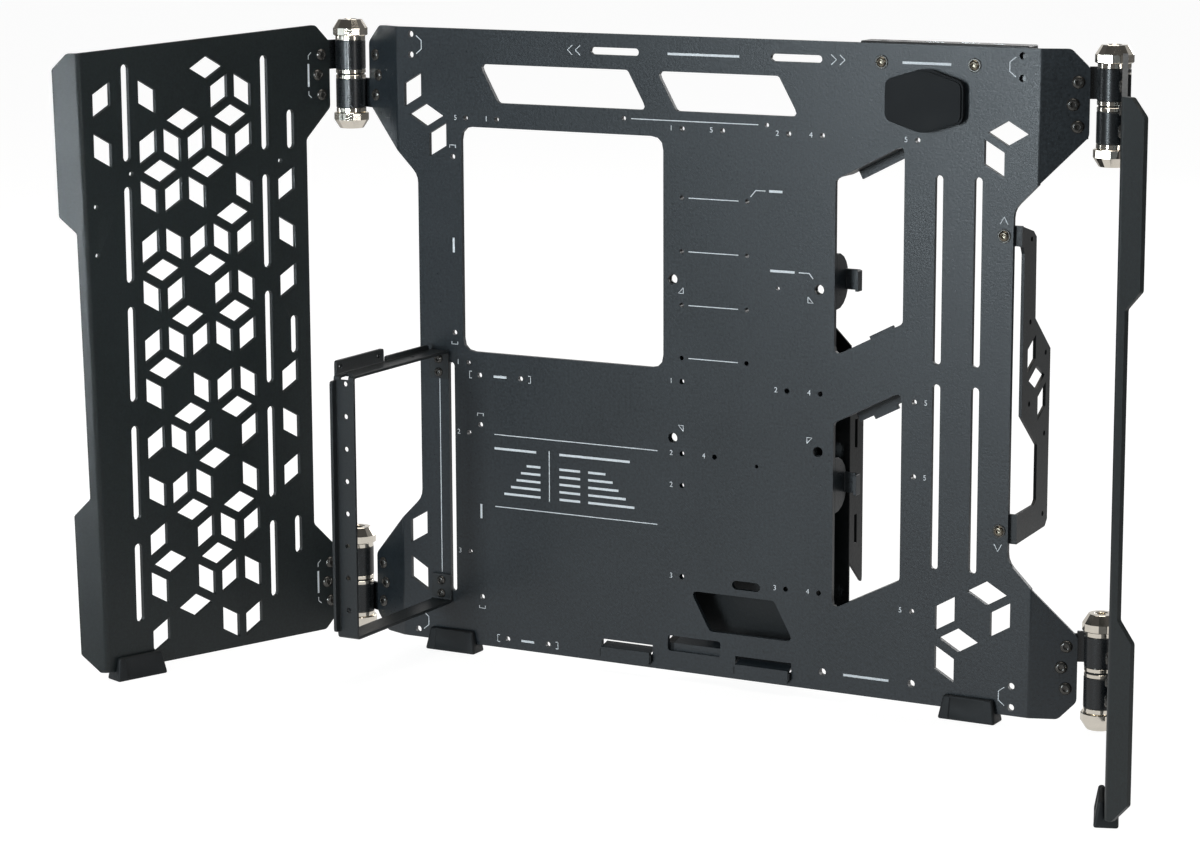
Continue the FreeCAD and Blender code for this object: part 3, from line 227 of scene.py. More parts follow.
@dataclass(frozen=True)
class Finish:
    """A surface finish that makes one procedural material.

    Attributes:
        name: the material's name.
        colour: linear base colour.
        roughness: mean roughness.
    """

    name: str
    colour: Colour
    roughness: float

    def material(self) -> bpy.types.Material:
        """Makes the finish's material the first time it is asked for.

        Returns:
            The material, with a name that no material of the CAD has.
        """
        label = "dressed_" + self.name
        found = bpy.data.materials.get(label)
        if found is not None:
            return found
        made = bpy.data.materials.new(label)
        made.use_nodes = True
        made.diffuse_color = (*self.colour, 1.0)
        made.node_tree.nodes.clear()
        graph = Graph(made.node_tree)
        place = graph.node("ShaderNodeTexCoord").outputs["Object"]
        shader = self.surface(graph, place)
        graph.node("ShaderNodeOutputMaterial", inputs={"Surface": shader.outputs[0]})
        return made

    def surface(self, graph: Graph, place: bpy.types.NodeSocket) -> bpy.types.Node:
        """The shader on the object's coordinates; each finish has its own."""
        raise NotImplementedError

    def noise(self, graph: Graph, place: Any, size: float, detail: float = 2.0) -> Sock:
        """A noise from 0 to 1, with features of that size in millimetres."""
        return graph.number("ShaderNodeTexNoise", inputs={
            "Vector": place, "Scale": 1.0 / (size * MM), "Detail": detail})

    def shade(self, graph: Graph, level: Sock, low: float, high: float) -> bpy.types.NodeSocket:
        """Base colour that goes from low to high times the finish's own.

        Args:
            graph: the material's graph.
            level: number from 0 to 1.
            low: factor at 0.
            high: factor at 1.

        Returns:
            The colour socket.
        """
        dark = (*(c * low for c in self.colour), 1.0)
        light = (*(c * high for c in self.colour), 1.0)
        made = graph.node("ShaderNodeMix", {"data_type": "RGBA"}, {0: level, 6: dark, 7: light})
        return made.outputs[2]

    def relief(self, graph: Graph, height: Sock, depth: float, strength: float) -> Any:
        """Adds a bump.

        Args:
            graph: the material's graph.
            height: height of the surface, from 0 to 1.
            depth: what a height of 1 is in millimetres.
            strength: the bump's strength.

        Returns:
            The normal's socket.
        """
        made = graph.node("ShaderNodeBump", inputs={
            "Strength": strength, "Distance": depth * MM, "Height": height})
        return made.outputs[0]


@dataclass(frozen=True)
class PowderCoat(Finish):
    """Baked powder coat with a fine orange peel and pale specks.

    Attributes:
        grain: size of the peel in millimetres.
        depth: height of the peel in millimetres.
        speck: size of the specks, as a share of the grain.
        cloud: size of the slow unevenness in millimetres.
        sheen: specular level.
    """

    grain: float = 1.65
    depth: float = 0.09
    speck: float = 0.45
    cloud: float = 60.0
    sheen: float = 0.5

    def surface(self, graph: Graph, place: bpy.types.NodeSocket) -> bpy.types.Node:
        """Peel in the bump, specks in colour and roughness, and a slow unevenness.

        Args:
            graph: the material's graph.
            place: the coordinates on the object.

        Returns:
            The shader node.
        """
        peel = self.noise(graph, place, self.grain, 3.0)
        speck = self.noise(graph, place, self.grain * self.speck, 1.0)
        cloud = self.noise(graph, place, self.cloud)
        spot = ((speck - 0.56) * 5.0).most(0.0).least(1.0)
        level = (peel - 0.5) * 1.3 + 0.4 + spot * 0.35 + (cloud - 0.5) * 0.3
        rough = self.roughness + (peel - 0.5) * 0.26 + (cloud - 0.5) * 0.10 - spot * 0.06
        return graph.node("ShaderNodeBsdfPrincipled", inputs={
            "Base Color": self.shade(graph, level.most(0.0).least(1.0), 0.55, 1.7),
            "Roughness": rough.most(0.12).least(0.9),
            "Specular IOR Level": self.sheen,
            "Normal": self.relief(graph, peel + speck * 0.4, self.depth, 0.7)})


@dataclass(frozen=True)
class TurnedMetal(Finish):
    """Plated or ground metal with faint turning rings and a slow smear.

    Attributes:
        ring: spacing of the turning rings in millimetres.
        mark: how far the rings change the roughness.
        smear: size of the smears in millimetres.
    """

    ring: float = 0.35
    mark: float = 0.10
    smear: float = 7.0

    def surface(self, graph: Graph, place: bpy.types.NodeSocket) -> bpy.types.Node:
        """Rings are a noise that changes only with height, and the rest is a slow smear.

        Args:
            graph: the material's graph.
            place: the coordinates on the object.

        Returns:
            The shader node.
        """
        flat = graph.node("ShaderNodeMapping", inputs={
            "Vector": place, "Scale": (0.02, 0.02, 1.0)}).outputs[0]
        rings = self.noise(graph, flat, self.ring)
        smear = self.noise(graph, place, self.smear, 3.0)
        rough = self.roughness + (rings - 0.5) * self.mark + (smear - 0.5) * 0.12
        level = 0.55 + (smear - 0.5) * 0.7 + (rings - 0.5) * 0.3
        return graph.node("ShaderNodeBsdfPrincipled", inputs={
            "Base Color": self.shade(graph, level.most(0.0).least(1.0), 0.82, 1.12),
            "Metallic": 1.0,
            "Roughness": rough.most(0.05).least(0.6),
            "Normal": self.relief(graph, rings, 0.006, 0.25)})


@dataclass(frozen=True)
class BlackSteel(Finish):
    """Blackened steel of screws, rubbed brighter in patches.

    Attributes:
        patch: size of the rubbed patches in millimetres.
        grain: size of the fine grain in millimetres.
    """

    patch: float = 1.6
    grain: float = 0.25

    def surface(self, graph: Graph, place: bpy.types.NodeSocket) -> bpy.types.Node:
        """Half metallic black with a patchy rub.

        Args:
            graph: the material's graph.
            place: the coordinates on the object.

        Returns:
            The shader node.
        """
        rub = self.noise(graph, place, self.patch, 3.0)
        grain = self.noise(graph, place, self.grain, 1.0)
        bright = ((rub - 0.58) * 4.0).most(0.0).least(1.0)
        return graph.node("ShaderNodeBsdfPrincipled", inputs={
            "Base Color": self.shade(graph, bright, 1.0, 3.0),
            "Metallic": 0.7 + bright * 0.3,
            "Roughness": (self.roughness + (grain - 0.5) * 0.16).most(0.1).least(0.9),
            "Normal": self.relief(graph, grain, 0.01, 0.3)})


@dataclass(frozen=True)
class Moulded(Finish):
    """Moulded plastic or rubber with a fine spark texture.

    Attributes:
        grain: size of the texture in millimetres.
        depth: its height in millimetres.
        slow: size of the uneven patches in millimetres.
        sheen: specular level.
    """

    grain: float = 0.5
    depth: float = 0.03
    slow: float = 18.0
    sheen: float = 0.5

    def surface(self, graph: Graph, place: bpy.types.NodeSocket) -> bpy.types.Node:
        """Spark texture in the bump with a slow change of sheen.

        Args:
            graph: the material's graph.
            place: the coordinates on the object.

        Returns:
            The shader node.
        """
        spark = self.noise(graph, place, self.grain)
        slow = self.noise(graph, place, self.slow, 3.0)
        level = 0.35 + (spark - 0.5) * 0.5 + (slow - 0.5) * 0.8
        rough = self.roughness + (spark - 0.5) * 0.12 + (slow - 0.5) * 0.16
        return graph.node("ShaderNodeBsdfPrincipled", inputs={
            "Base Color": self.shade(graph, level.most(0.0).least(1.0), 0.8, 1.4),
            "Roughness": rough.most(0.15).least(0.95),
            "Specular IOR Level": self.sheen,
            "Normal": self.relief(graph, spark, self.depth, 0.5)})


@dataclass(frozen=True)
class Ink(Finish):
    """Screen print, a little thin where the coat's peel shows through.

    Attributes:
        peel: size of the peel in millimetres.
    """

    peel: float = 0.8

    def surface(self, graph: Graph, place: bpy.types.NodeSocket) -> bpy.types.Node:
        """Pale ink that darkens on the peel.

        Args:
            graph: the material's graph.
            place: the coordinates on the object.

        Returns:
            The shader node.
        """
        peel = self.noise(graph, place, self.peel)
        return graph.node("ShaderNodeBsdfPrincipled", inputs={
            "Base Color": self.shade(graph, peel, 0.62, 1.12),
            "Roughness": (self.roughness + (peel - 0.5) * 0.2).most(0.2).least(0.9),
            "Normal": self.relief(graph, peel, 0.02, 0.3)})


class Finishes(Enum):
    """The finishes of the bench."""

    PANEL = PowderCoat("panel_coat", (0.0112, 0.0158, 0.0195), 0.355)
    # The wings' coat is a darker copy of the panel's: painted shade on the wings
    WING = PowderCoat("wing_coat", (0.0076, 0.0112, 0.0118), 0.42, sheen=0.36)
    BRACKET = PowderCoat("bracket_coat", (0.0105, 0.0132, 0.0146), 0.42, grain=1.2, sheen=0.45)
    # The tray's coat is painted darker than the other sheets: painted shade behind the panel and
    # on the tongues' sides
    TRAY = PowderCoat("tray_coat", (0.0046, 0.0062, 0.0070), 0.46, sheen=0.28)
    HINGE = PowderCoat("hinge_coat", (0.0075, 0.0090, 0.0102), 0.29, grain=0.5, depth=0.008)
    NICKEL = TurnedMetal("bright_nickel", (0.80, 0.745, 0.655), 0.10)
    STEEL = TurnedMetal("ground_steel", (0.58, 0.57, 0.55), 0.28)
    BRONZE = TurnedMetal("screw_bronze", (0.21, 0.185, 0.145), 0.27)
    BLACK_STEEL = BlackSteel("black_steel", (0.072, 0.069, 0.064), 0.24)
    RUBBER = Moulded("foot_rubber", (0.0062, 0.0080, 0.0092), 0.60, grain=0.9, depth=0.05,
                     sheen=0.35)
    BOX = Moulded("box_plastic", (0.0200, 0.0202, 0.0200), 0.26)
    BUTTON = Moulded("button_plastic", (0.0052, 0.0066, 0.0078), 0.58, grain=0.7, sheen=0.22)
    PORT = TurnedMetal("port_shell", (0.62, 0.62, 0.61), 0.25)
    PORT_PLASTIC = Moulded("port_plastic", (0.012, 0.012, 0.013), 0.40)
    INK = Ink("print_ink", (0.76, 0.80, 0.83), 0.50)

    def material(self) -> bpy.types.Material:
        """The finish's material."""
        return self.value.material()


# Meshes


def new_object(name: str, mesh: bpy.types.Mesh) -> bpy.types.Object:
    """Makes an object and links it to the scene.

    Args:
        name: name of the object.
        mesh: its mesh.

    Returns:
        The object, at the origin.
    """
    made = bpy.data.objects.new(name, mesh)
    bpy.context.scene.collection.objects.link(made)
    return made


def mesh_of(name: str, points: Sequence[Sequence[float]],
            edges: Sequence[Sequence[int]] = (),
            faces: Sequence[Sequence[int]] = ()) -> bpy.types.Mesh:
    """Makes a mesh.

    Args:
        name: name of the mesh.
        points: its points in metres.
        edges: its edges, as pairs of point numbers.
        faces: its faces, as point numbers in order.

    Returns:
        The mesh.
    """
    made = bpy.data.meshes.new(name)
    made.from_pydata([tuple(p) for p in points], [tuple(e) for e in edges],
                     [tuple(f) for f in faces])
    made.update()
    return made


def soften(mesh: bpy.types.Mesh, degrees: float) -> None:
    """Shades a mesh smooth but for its sharp edges.

    Args:
        mesh: the mesh.
        degrees: angle from which an edge stays crisp.
    """
    mesh.polygons.foreach_set("use_smooth", [True] * len(mesh.polygons))
    mesh.set_sharp_from_angle(angle=math.radians(degrees))
    mesh.update()


def merged_copy(node: bpy.types.Object) -> bmesh.types.BMesh:
    """Copies a CAD node's loose triangles into a connected mesh.

    Args:
        node: the CAD node's object.

    Returns:
        The copy, which its user frees.
    """
    work = bmesh.new()
    work.from_mesh(node.data)
    bmesh.ops.remove_doubles(work, verts=work.verts, dist=SAME_POINT)
    return work


def melt_flats(work: bmesh.types.BMesh) -> None:
    """Joins the triangles of every flat face into one."""
    bmesh.ops.dissolve_limit(work, angle_limit=math.radians(ONE_FLAT), verts=work.verts,
                             edges=work.edges)


def cut(work: bmesh.types.BMesh, point: Vector, normal: Vector,
        drop: bool = False) -> list[Any]:
    """Cuts a mesh along a plane.

    Args:
        work: the mesh.
        point: a point of the plane.
        normal: its normal.
        drop: whether what lies behind the plane goes.

    Returns:
        The points and edges of the cut.
    """
    made = bmesh.ops.bisect_plane(
        work, geom=[*work.verts, *work.edges, *work.faces], dist=IN_CUT, plane_co=point,
        plane_no=normal, clear_inner=drop)
    return made["geom_cut"]


def shell(name: str, work: bmesh.types.BMesh, finish: "Finishes",
          degrees: float) -> bpy.types.Object:
    """Makes an edited mesh a finished object at the origin.

    Args:
        name: name of the object.
        work: the edited mesh, which is freed.
        finish: its one finish.
        degrees: angle from which an edge stays crisp.

    Returns:
        The object.
    """
    mesh = bpy.data.meshes.new(name)
    work.to_mesh(mesh)
    work.free()
    mesh.materials.clear()
    mesh.materials.append(finish.material())
    mesh.polygons.foreach_set("material_index", [0] * len(mesh.polygons))
    soften(mesh, degrees)
    return new_object(name, mesh)


@dataclass
class Island:
    """Loose solid of a CAD node.

    Attributes:
        points: its corners in metres.
    """

    points: list[Vector]

    def span(self, axis: Vector) -> tuple[float, float]:
        """Lowest and highest reach of the solid along an axis."""
        along = [p.dot(axis) for p in self.points]
        return min(along), max(along)

    def centre(self) -> Vector:
        """Finds the middle of the solid's box.

        Returns:
            The middle in metres.
        """
        low = Vector([min(p[i] for p in self.points) for i in range(3)])
        high = Vector([max(p[i] for p in self.points) for i in range(3)])
        return (low + high) / 2

    def on_axis(self, axis: Vector) -> tuple[Vector, float, float]:
        """Finds where the solid's own axis runs.

        Args:
            axis: the direction of the solid's axis, as a unit vector.

        Returns:
            A point of the axis with no part along it, then the low and high reach.
        """
        side = axis.cross(Vector((0, 0, 1)) if abs(axis.z) < 0.9 else Vector((1, 0, 0)))
        side.normalize()
        other = axis.cross(side)
        middle = Vector((0, 0, 0))
        for across in (side, other):
            low, high = self.span(across)
            middle += across * ((low + high) / 2)
        low, high = self.span(axis)
        return middle, low, high


def islands(node: bpy.types.Object) -> list[Island]:
    """Finds the loose solids of a CAD node in a merged copy of its mesh.

    Args:
        node: the CAD node's object.

    Returns:
        The solids, in the order of their middles.
    """
    work = merged_copy(node)
    left = set(work.verts)
    found = []
    while left:
        heap = [left.pop()]
        group = []
        while heap:
            vert = heap.pop()
            group.append(vert.co.copy())
            for edge in vert.link_edges:
                other = edge.other_vert(vert)
                if other in left:
                    left.remove(other)
                    heap.append(other)
        found.append(Island(group))
    work.free()
    found.sort(key=lambda island: tuple(round(c, 5) for c in island.centre()))
    return found


# Geometry node trees


class TreeKit:
    """Starts a Geometry Nodes tree with named inputs and runs it on a mesh."""

    def __init__(self, name: str, inputs: Sequence[tuple[str, str]]) -> None:
        """Makes the tree.

        Args:
            name: the tree's name.
            inputs: (name, socket type) pairs, after the geometry.
        """
        self.tree = bpy.data.node_groups.new(name, "GeometryNodeTree")
        face = self.tree.interface
        face.new_socket("Geometry", in_out="INPUT", socket_type="NodeSocketGeometry")
        for label, kind in inputs:
            face.new_socket(label, in_out="INPUT", socket_type=kind)
        face.new_socket("Geometry", in_out="OUTPUT", socket_type="NodeSocketGeometry")
        self.graph = Graph(self.tree)
        self.source = self.graph.node("NodeGroupInput")

    def given(self, name: str) -> Any:
        """The named input's socket inside the tree."""
        return self.source.outputs[name]

    def close(self, shape: Any) -> None:
        """Realizes the shape, sets its finish and links it to the output.

        Args:
            shape: socket of the shape.
        """
        solid = self.graph.node("GeometryNodeRealizeInstances", inputs={"Geometry": shape})
        dressed = self.graph.node("GeometryNodeSetMaterial", inputs={
            "Geometry": solid.outputs[0], "Material": self.given("Finish")})
        self.graph.node("NodeGroupOutput", inputs={"Geometry": dressed.outputs[0]})

    def run(self, name: str, mesh: bpy.types.Mesh,
            values: Mapping[str, Any]) -> bpy.types.Object:
        """Runs the tree on a mesh and keeps only the plain result.

        Args:
            name: name of the finished object.
            mesh: the geometry that the tree starts from.
            values: the named inputs' values.

        Returns:
            The finished object at the origin.
        """
        carrier = new_object(name + "_carrier", mesh)
        modifier = carrier.modifiers.new("tree", "NODES")
        modifier.node_group = self.tree
        for item in self.tree.interface.items_tree:
            if item.item_type == "SOCKET" and item.in_out == "INPUT" and item.name in values:
                modifier[item.identifier] = values[item.name]
        graph = bpy.context.evaluated_depsgraph_get()
        result = bpy.data.meshes.new_from_object(carrier.evaluated_get(graph), depsgraph=graph)
        carrier.modifiers.remove(modifier)
        bpy.data.objects.remove(carrier)
        work = bmesh.new()
        work.from_mesh(result)
        bmesh.ops.remove_doubles(work, verts=work.verts, dist=SAME_POINT)
        bmesh.ops.dissolve_degenerate(work, dist=SAME_POINT / 2, edges=work.edges)
        bmesh.ops.recalc_face_normals(work, faces=work.faces)
        work.to_mesh(result)
        work.free()
        result.name = name
        soften(result, CRISP)
        return new_object(name, result)


@dataclass(frozen=True)
class Profile:
    """Outline of a turned piece.

    Attributes:
        name: name of the outline.
        stops: (radius, height, weight) in millimetres, from the lower middle
            round the outside to the upper middle. A weight of 0 is round, 1 has
            flat facets, more than 1 hollows them, and -1 is a hexagon.
        sides: steps round the axis.
        facets: number of facets.
    """

    name: str
    stops: tuple[tuple[float, float, float], ...]
    sides: int = 24
    facets: int = 12

    def holder(self) -> bpy.types.Object:
        """Draws the outline as the points of an object that the tree reads.

        Returns:
            The object, which isn't in the scene.
        """
        points = [(r * MM, weight, h * MM) for r, h, weight in self.stops]
        edges = [(i, i + 1) for i in range(len(points) - 1)]
        return bpy.data.objects.new(self.name, mesh_of(self.name, points, edges))


class Lathe:
    """Turned pieces: one outline swept round an axis at each given point."""

    def __init__(self) -> None:
        """Builds the tree once."""
        self.kit = TreeKit("turned_pieces", (
            ("Outline", "NodeSocketObject"), ("Stops", "NodeSocketInt"),
            ("Sides", "NodeSocketInt"), ("Facets", "NodeSocketInt"),
            ("Finish", "NodeSocketMaterial")))
        self._build()

    def _build(self) -> None:
        """A grid is rolled round the axis, then set on every point of the input."""
        kit = self.kit
        graph = kit.graph
        sides = Sock(graph, kit.given("Sides"))
        stops = Sock(graph, kit.given("Stops"))
        grid = graph.node("GeometryNodeMeshGrid", inputs={
            "Size X": 1.0, "Size Y": 1.0, "Vertices X": sides + 1, "Vertices Y": stops})
        place = graph.node("ShaderNodeSeparateXYZ", inputs={
            0: graph.node("GeometryNodeInputPosition").outputs[0]})
        turn = (Sock(graph, place.outputs[0]) + 0.5) * (2 * math.pi)
        row = ((Sock(graph, place.outputs[1]) + 0.5) * (stops - 1) + 0.5).call("FLOOR")
        outline = graph.node("GeometryNodeObjectInfo", inputs={"Object": kit.given("Outline")})
        sample = graph.node("GeometryNodeSampleIndex", {
            "data_type": "FLOAT_VECTOR", "domain": "POINT"}, {
            "Geometry": outline.outputs["Geometry"],
            "Value": graph.node("GeometryNodeInputPosition").outputs[0], "Index": row})
        stop = graph.node("ShaderNodeSeparateXYZ", inputs={0: sample.outputs[0]})
        weight = Sock(graph, stop.outputs[1])
        facets = self._flat(turn, math.pi / Sock(graph, kit.given("Facets")))
        six = self._flat(turn, math.pi / 6)
        shape = (1 + weight.most(0.0) * (facets - 1)) * (1 - weight.least(0.0) * (six - 1))
        radius = Sock(graph, stop.outputs[0]) * shape
        spot = graph.node("ShaderNodeCombineXYZ", inputs={
            0: radius * turn.call("COSINE"), 1: radius * turn.call("SINE"),
            2: stop.outputs[2]})
        rolled = graph.node("GeometryNodeSetPosition", inputs={
            "Geometry": grid.outputs[0], "Position": spot.outputs[0]})
        heading = graph.node("GeometryNodeInputNamedAttribute", {"data_type": "FLOAT_VECTOR"},
                             {"Name": "heading"})
        facing = graph.node("FunctionNodeAlignRotationToVector", {"axis": "Z"},
                            {"Vector": heading.outputs[0]})
        copies = graph.node("GeometryNodeInstanceOnPoints", inputs={
            "Points": kit.given("Geometry"), "Instance": rolled.outputs[0],
            "Rotation": facing.outputs[0]})
        kit.close(copies.outputs[0])

    @staticmethod
    def _flat(turn: Sock, half: Any) -> Sock:
        """Finds the share of the radius that flat sides leave.

        Args:
            turn: angle round the axis.
            half: half the angle of one side.

        Returns:
            The share, 1 at a corner and least in the middle of a side.
        """
        away = (turn % (half * 2.0)) - half
        edge = half.call("COSINE") if isinstance(half, Sock) else math.cos(half)
        return edge / away.call("COSINE")

    def turn(self, name: str, profile: Profile, places: Sequence[tuple[Vector, Vector]],
             finish: Finishes) -> bpy.types.Object:
        """Turns one piece at every place.

        Args:
            name: name of the finished object.
            profile: the outline.
            places: (foot of the axis in metres, direction of its upper end) pairs.
            finish: the finish.

        Returns:
            One object that holds all of them.
        """
        mesh = mesh_of(name + "_places", [spot for spot, _ in places])
        layer = mesh.attributes.new("heading", "FLOAT_VECTOR", "POINT")
        for item, (_, heading) in zip(layer.data, places):
            item.vector = heading
        holder = profile.holder()
        made = self.kit.run(name, mesh, {
            "Outline": holder, "Stops": len(profile.stops), "Sides": profile.sides,
            "Facets": profile.facets, "Finish": finish.material()})
        bpy.data.objects.remove(holder)
        return made


class Pen:
    """Printed lines: a flat stroke along every line of the input."""

    def __init__(self) -> None:
        """Builds the tree once."""
        self.kit = TreeKit("printed_lines", (
            ("Line width", "NodeSocketFloat"), ("Ink height", "NodeSocketFloat"),
            ("Finish", "NodeSocketMaterial")))
        kit = self.kit
        graph = kit.graph
        path = graph.node("GeometryNodeMeshToCurve", inputs={"Mesh": kit.given("Geometry")})
        nib = graph.node("GeometryNodeCurvePrimitiveQuadrilateral", inputs={
            "Width": kit.given("Line width"), "Height": kit.given("Ink height")})
        upright = graph.node("GeometryNodeSetCurveNormal", {"mode": "Z_UP"},
                             {"Curve": path.outputs[0]})
        stroke = graph.node("GeometryNodeCurveToMesh", inputs={
            "Curve": upright.outputs[0], "Profile Curve": nib.outputs[0], "Fill Caps": True})
        kit.close(stroke.outputs[0])

    def draw(self, name: str, lines: Sequence[Sequence[Point]], width: float,
             height: float) -> bpy.types.Object:
        """Draws flat lines in the XY plane.

        Args:
            name: name of the finished object.
            lines: each a list of points in millimetres.
            width: width of the line in millimetres.
            height: thickness of the ink in millimetres.

        Returns:
            The drawn lines as one object, still flat on the XY plane.
        """
        points: list[tuple[float, float, float]] = []
        edges = []
        for line in lines:
            first = len(points)
            points += [(x * MM, y * MM, 0.0) for x, y in line]
            edges += [(first + i, first + i + 1) for i in range(len(line) - 1)]
        return self.kit.run(name, mesh_of(name, points, edges), {
            "Line width": width * MM, "Ink height": height * MM,
            "Finish": Finishes.INK.material()})


# Sub-assemblies


@dataclass
class Bench:
    """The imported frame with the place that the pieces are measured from.

    Attributes:
        origin: the panel's upper left board hole, on its front face.
    """

    frame: Mapping[str, Any]
    origin: Vector = field(init=False)

    def __post_init__(self) -> None:
        """Finds the upper left board hole from the middle of the board pattern."""
        mounts = {m["name"]: m for m in self.frame["record"]["mounts"]}
        middle = Vector(mounts["board_pattern"]["pos_m"])
        half_width = COLUMNS[2] / 2 * MM
        drop = (ROWS[1] + ROWS[4]) / 2 * MM
        self.origin = middle - Vector((half_width, 0.0, drop))

    def node(self, name: str) -> bpy.types.Object:
        """The CAD node's object."""
        return self.frame["nodes"][name]

    def dress(self, name: str, finish: Finishes, edge: float = 0.0) -> None:
        """Gives a CAD node its finish, and its edges a small round.

        Args:
            name: the node.
            finish: its finish.
            edge: radius of the edges in millimetres, or 0 for none.
        """
        piece = self.node(name)
        for item in piece.material_slots:
            item.material = finish.material()
        if not piece.material_slots:
            piece.data.materials.append(finish.material())
        if edge > 0.0:
            weld = piece.modifiers.new("weld", "WELD")
            weld.merge_threshold = SAME_POINT
            bevel = piece.modifiers.new("edge", "BEVEL")
            bevel.width = edge * MM
            bevel.segments = 2
            bevel.limit_method = "ANGLE"
            bevel.angle_limit = math.radians(ROUNDED)
            bevel.use_clamp_overlap = True
        LOG.info("dressed %s", name)

    def add(self, piece: bpy.types.Object, body: str, slot: str, *nodes: str) -> None:
        """Rides a new piece on its body and hides the CAD nodes that it stands for.

        Args:
            piece: the piece, in place.
            body: the CAD body that carries it.
            slot: the record's material slot; not used.
            nodes: the CAD nodes that it replaces.
        """
        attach(piece, body)
        if nodes:
            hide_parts(*nodes)
        LOG.info("built %s on %s", piece.name, body)


@dataclass
class Sheets:
    """Bent sheet parts that keep their CAD shape.

    Attributes:
        bench: the frame.
        edge: radius of the cut edges in millimetres.
        coats: finish of every sheet.
    """

    bench: Bench
    edge: float = 0.35
    coats: Mapping[str, Finishes] = field(default_factory=lambda: {
        "main_panel": Finishes.PANEL, "cable_hooks": Finishes.PANEL,
        # The wings take the panel coat's darker copy: painted shade
        "right_wing_panel": Finishes.WING, "left_wing_panel": Finishes.WING,
        "supply_frame": Finishes.BRACKET, "side_bracket": Finishes.BRACKET,
        # The tray takes the darkest coat: painted shade behind the panel
        "drive_tray": Finishes.TRAY})

    def build(self) -> None:
        """Coats every sheet and rounds its cut edges."""
        for name, finish in self.coats.items():
            self.bench.dress(name, finish, self.edge)


@dataclass
class Mouldings:
    """Connection box, ports and button.

    Attributes:
        bench: the frame.
        box_height: full height of the connection box in millimetres.
        box_edge: radius of its edges in millimetres.
        button_edge: radius of the button's edges in millimetres.
        corner: angle in radians from which an edge of the box is rounded.
        least_edge: length in metres under which it stays sharp.
    """

    bench: Bench
    box_height: float = 41.0
    box_edge: float = 0.6
    button_edge: float = 0.9
    corner: float = 0.7
    least_edge: float = 0.008

    def build(self) -> None:
        """Dresses the moulded pieces."""
        self.bench.add(self.box(), "bench", "box_plastic", "connection_box")
        self.bench.dress("power_button", Finishes.BUTTON, self.button_edge)
        self.bench.dress("usb_ports", Finishes.PORT)
        self.bench.dress("usb_c_port", Finishes.PORT)
        self.bench.dress("audio_jacks", Finishes.PORT_PLASTIC)
        self.bench.dress("drive_tray_posts", Finishes.STEEL)

    def box(self) -> bpy.types.Object:
        """Ends the connection box above the panel's corner window and rounds its edges.

        Returns:
            The box.
        """
        name = "connection_box"
        up = Vector((0, 0, 1))
        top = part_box(name)[1][2]
        work = merged_copy(self.bench.node(name))
        made = cut(work, up * (top - self.box_height * MM), up, drop=True)
        rim = [item for item in made if isinstance(item, bmesh.types.BMEdge)]
        bmesh.ops.triangle_fill(work, edges=rim, use_beauty=True)
        bmesh.ops.recalc_face_normals(work, faces=work.faces)
        melt_flats(work)
        sharp = [e for e in work.edges if e.is_manifold and e.is_convex
                 and e.calc_face_angle() > self.corner
                 and e.calc_length() > self.least_edge]
        bmesh.ops.bevel(work, geom=sharp, offset=self.box_edge * MM, segments=2, profile=0.5,
                        affect="EDGES", clamp_overlap=True)
        return shell(name + "_shell", work, Finishes.BOX, CRISP)


@dataclass
class Feet:
    """Rubber feet with round edges and an upright groove near each end of a face.

    Attributes:
        bench: the frame.
        edge: radius of the outer edges in millimetres.
        inset: distance of a groove from the end of its face in millimetres.
        groove: half the width of a groove in millimetres.
        deep: depth of a groove in millimetres.
        corner: angle in radians from which an edge is rounded.
        crisp: angle in degrees from which an edge stays crisp in the shading.
        bodies: body that carries each foot.
    """

    bench: Bench
    edge: float = 1.7
    inset: float = 3.4
    groove: float = 0.55
    deep: float = 0.7
    corner: float = 0.5
    crisp: float = 32.0
    bodies: Mapping[str, str] = field(default_factory=lambda: {
        "right_foot": "bench", "left_foot": "bench",
        "right_wing_foot": "right_wing", "left_wing_foot": "left_wing"})

    def build(self) -> None:
        """Shapes every foot on its own body."""
        for name, body in self.bodies.items():
            self.bench.add(self.shape(name), body, "rubber", name)

    def shape(self, name: str) -> bpy.types.Object:
        """Shapes one foot from a copy of the plain block.

        Args:
            name: the CAD node of the block.

        Returns:
            The foot.
        """
        work = merged_copy(self.bench.node(name))
        melt_flats(work)
        work.normal_update()
        large = sorted(work.faces, key=lambda f: -f.calc_area() * (abs(f.normal.z) < 0.5))[:2]
        faces = [(f.normal.copy(), f.calc_center_median()) for f in large]
        sharp = [e for e in work.edges if e.is_manifold and e.is_convex
                 and e.calc_face_angle() > self.corner]
        bmesh.ops.bevel(work, geom=sharp, offset=self.edge * MM, segments=4, profile=0.5,
                        affect="EDGES", clamp_overlap=True)
        for normal, middle in faces:
            self._cut_grooves(work, normal, middle)
        bmesh.ops.recalc_face_normals(work, faces=work.faces)
        return shell(name + "_rubber", work, Finishes.RUBBER, self.crisp)

    def _cut_grooves(self, work: bmesh.types.BMesh, normal: Vector, middle: Vector) -> None:
        """Presses an upright groove near both ends of one face.

        Args:
            work: the foot's mesh.
            normal: the face's normal.
            middle: the face's middle.
        """
        along = normal.cross(Vector((0, 0, 1))).normalized()
        reach = [(v.co - middle).dot(along) for v in work.verts
                 if abs((v.co - middle).dot(normal)) < ON_FACE and v.co.z > middle.z]
        for end, way in ((max(reach), 1), (min(reach), -1)):
            for share in (-1, 0, 1):
                at = end - way * (self.inset + share * self.groove) * MM
                made = cut(work, middle + along * at, along)
                if share != 0:
                    continue
                for item in made:
                    if (isinstance(item, bmesh.types.BMVert)
                            and abs((item.co - middle).dot(normal)) < ON_FACE):
                        item.co -= normal * (self.deep * MM)


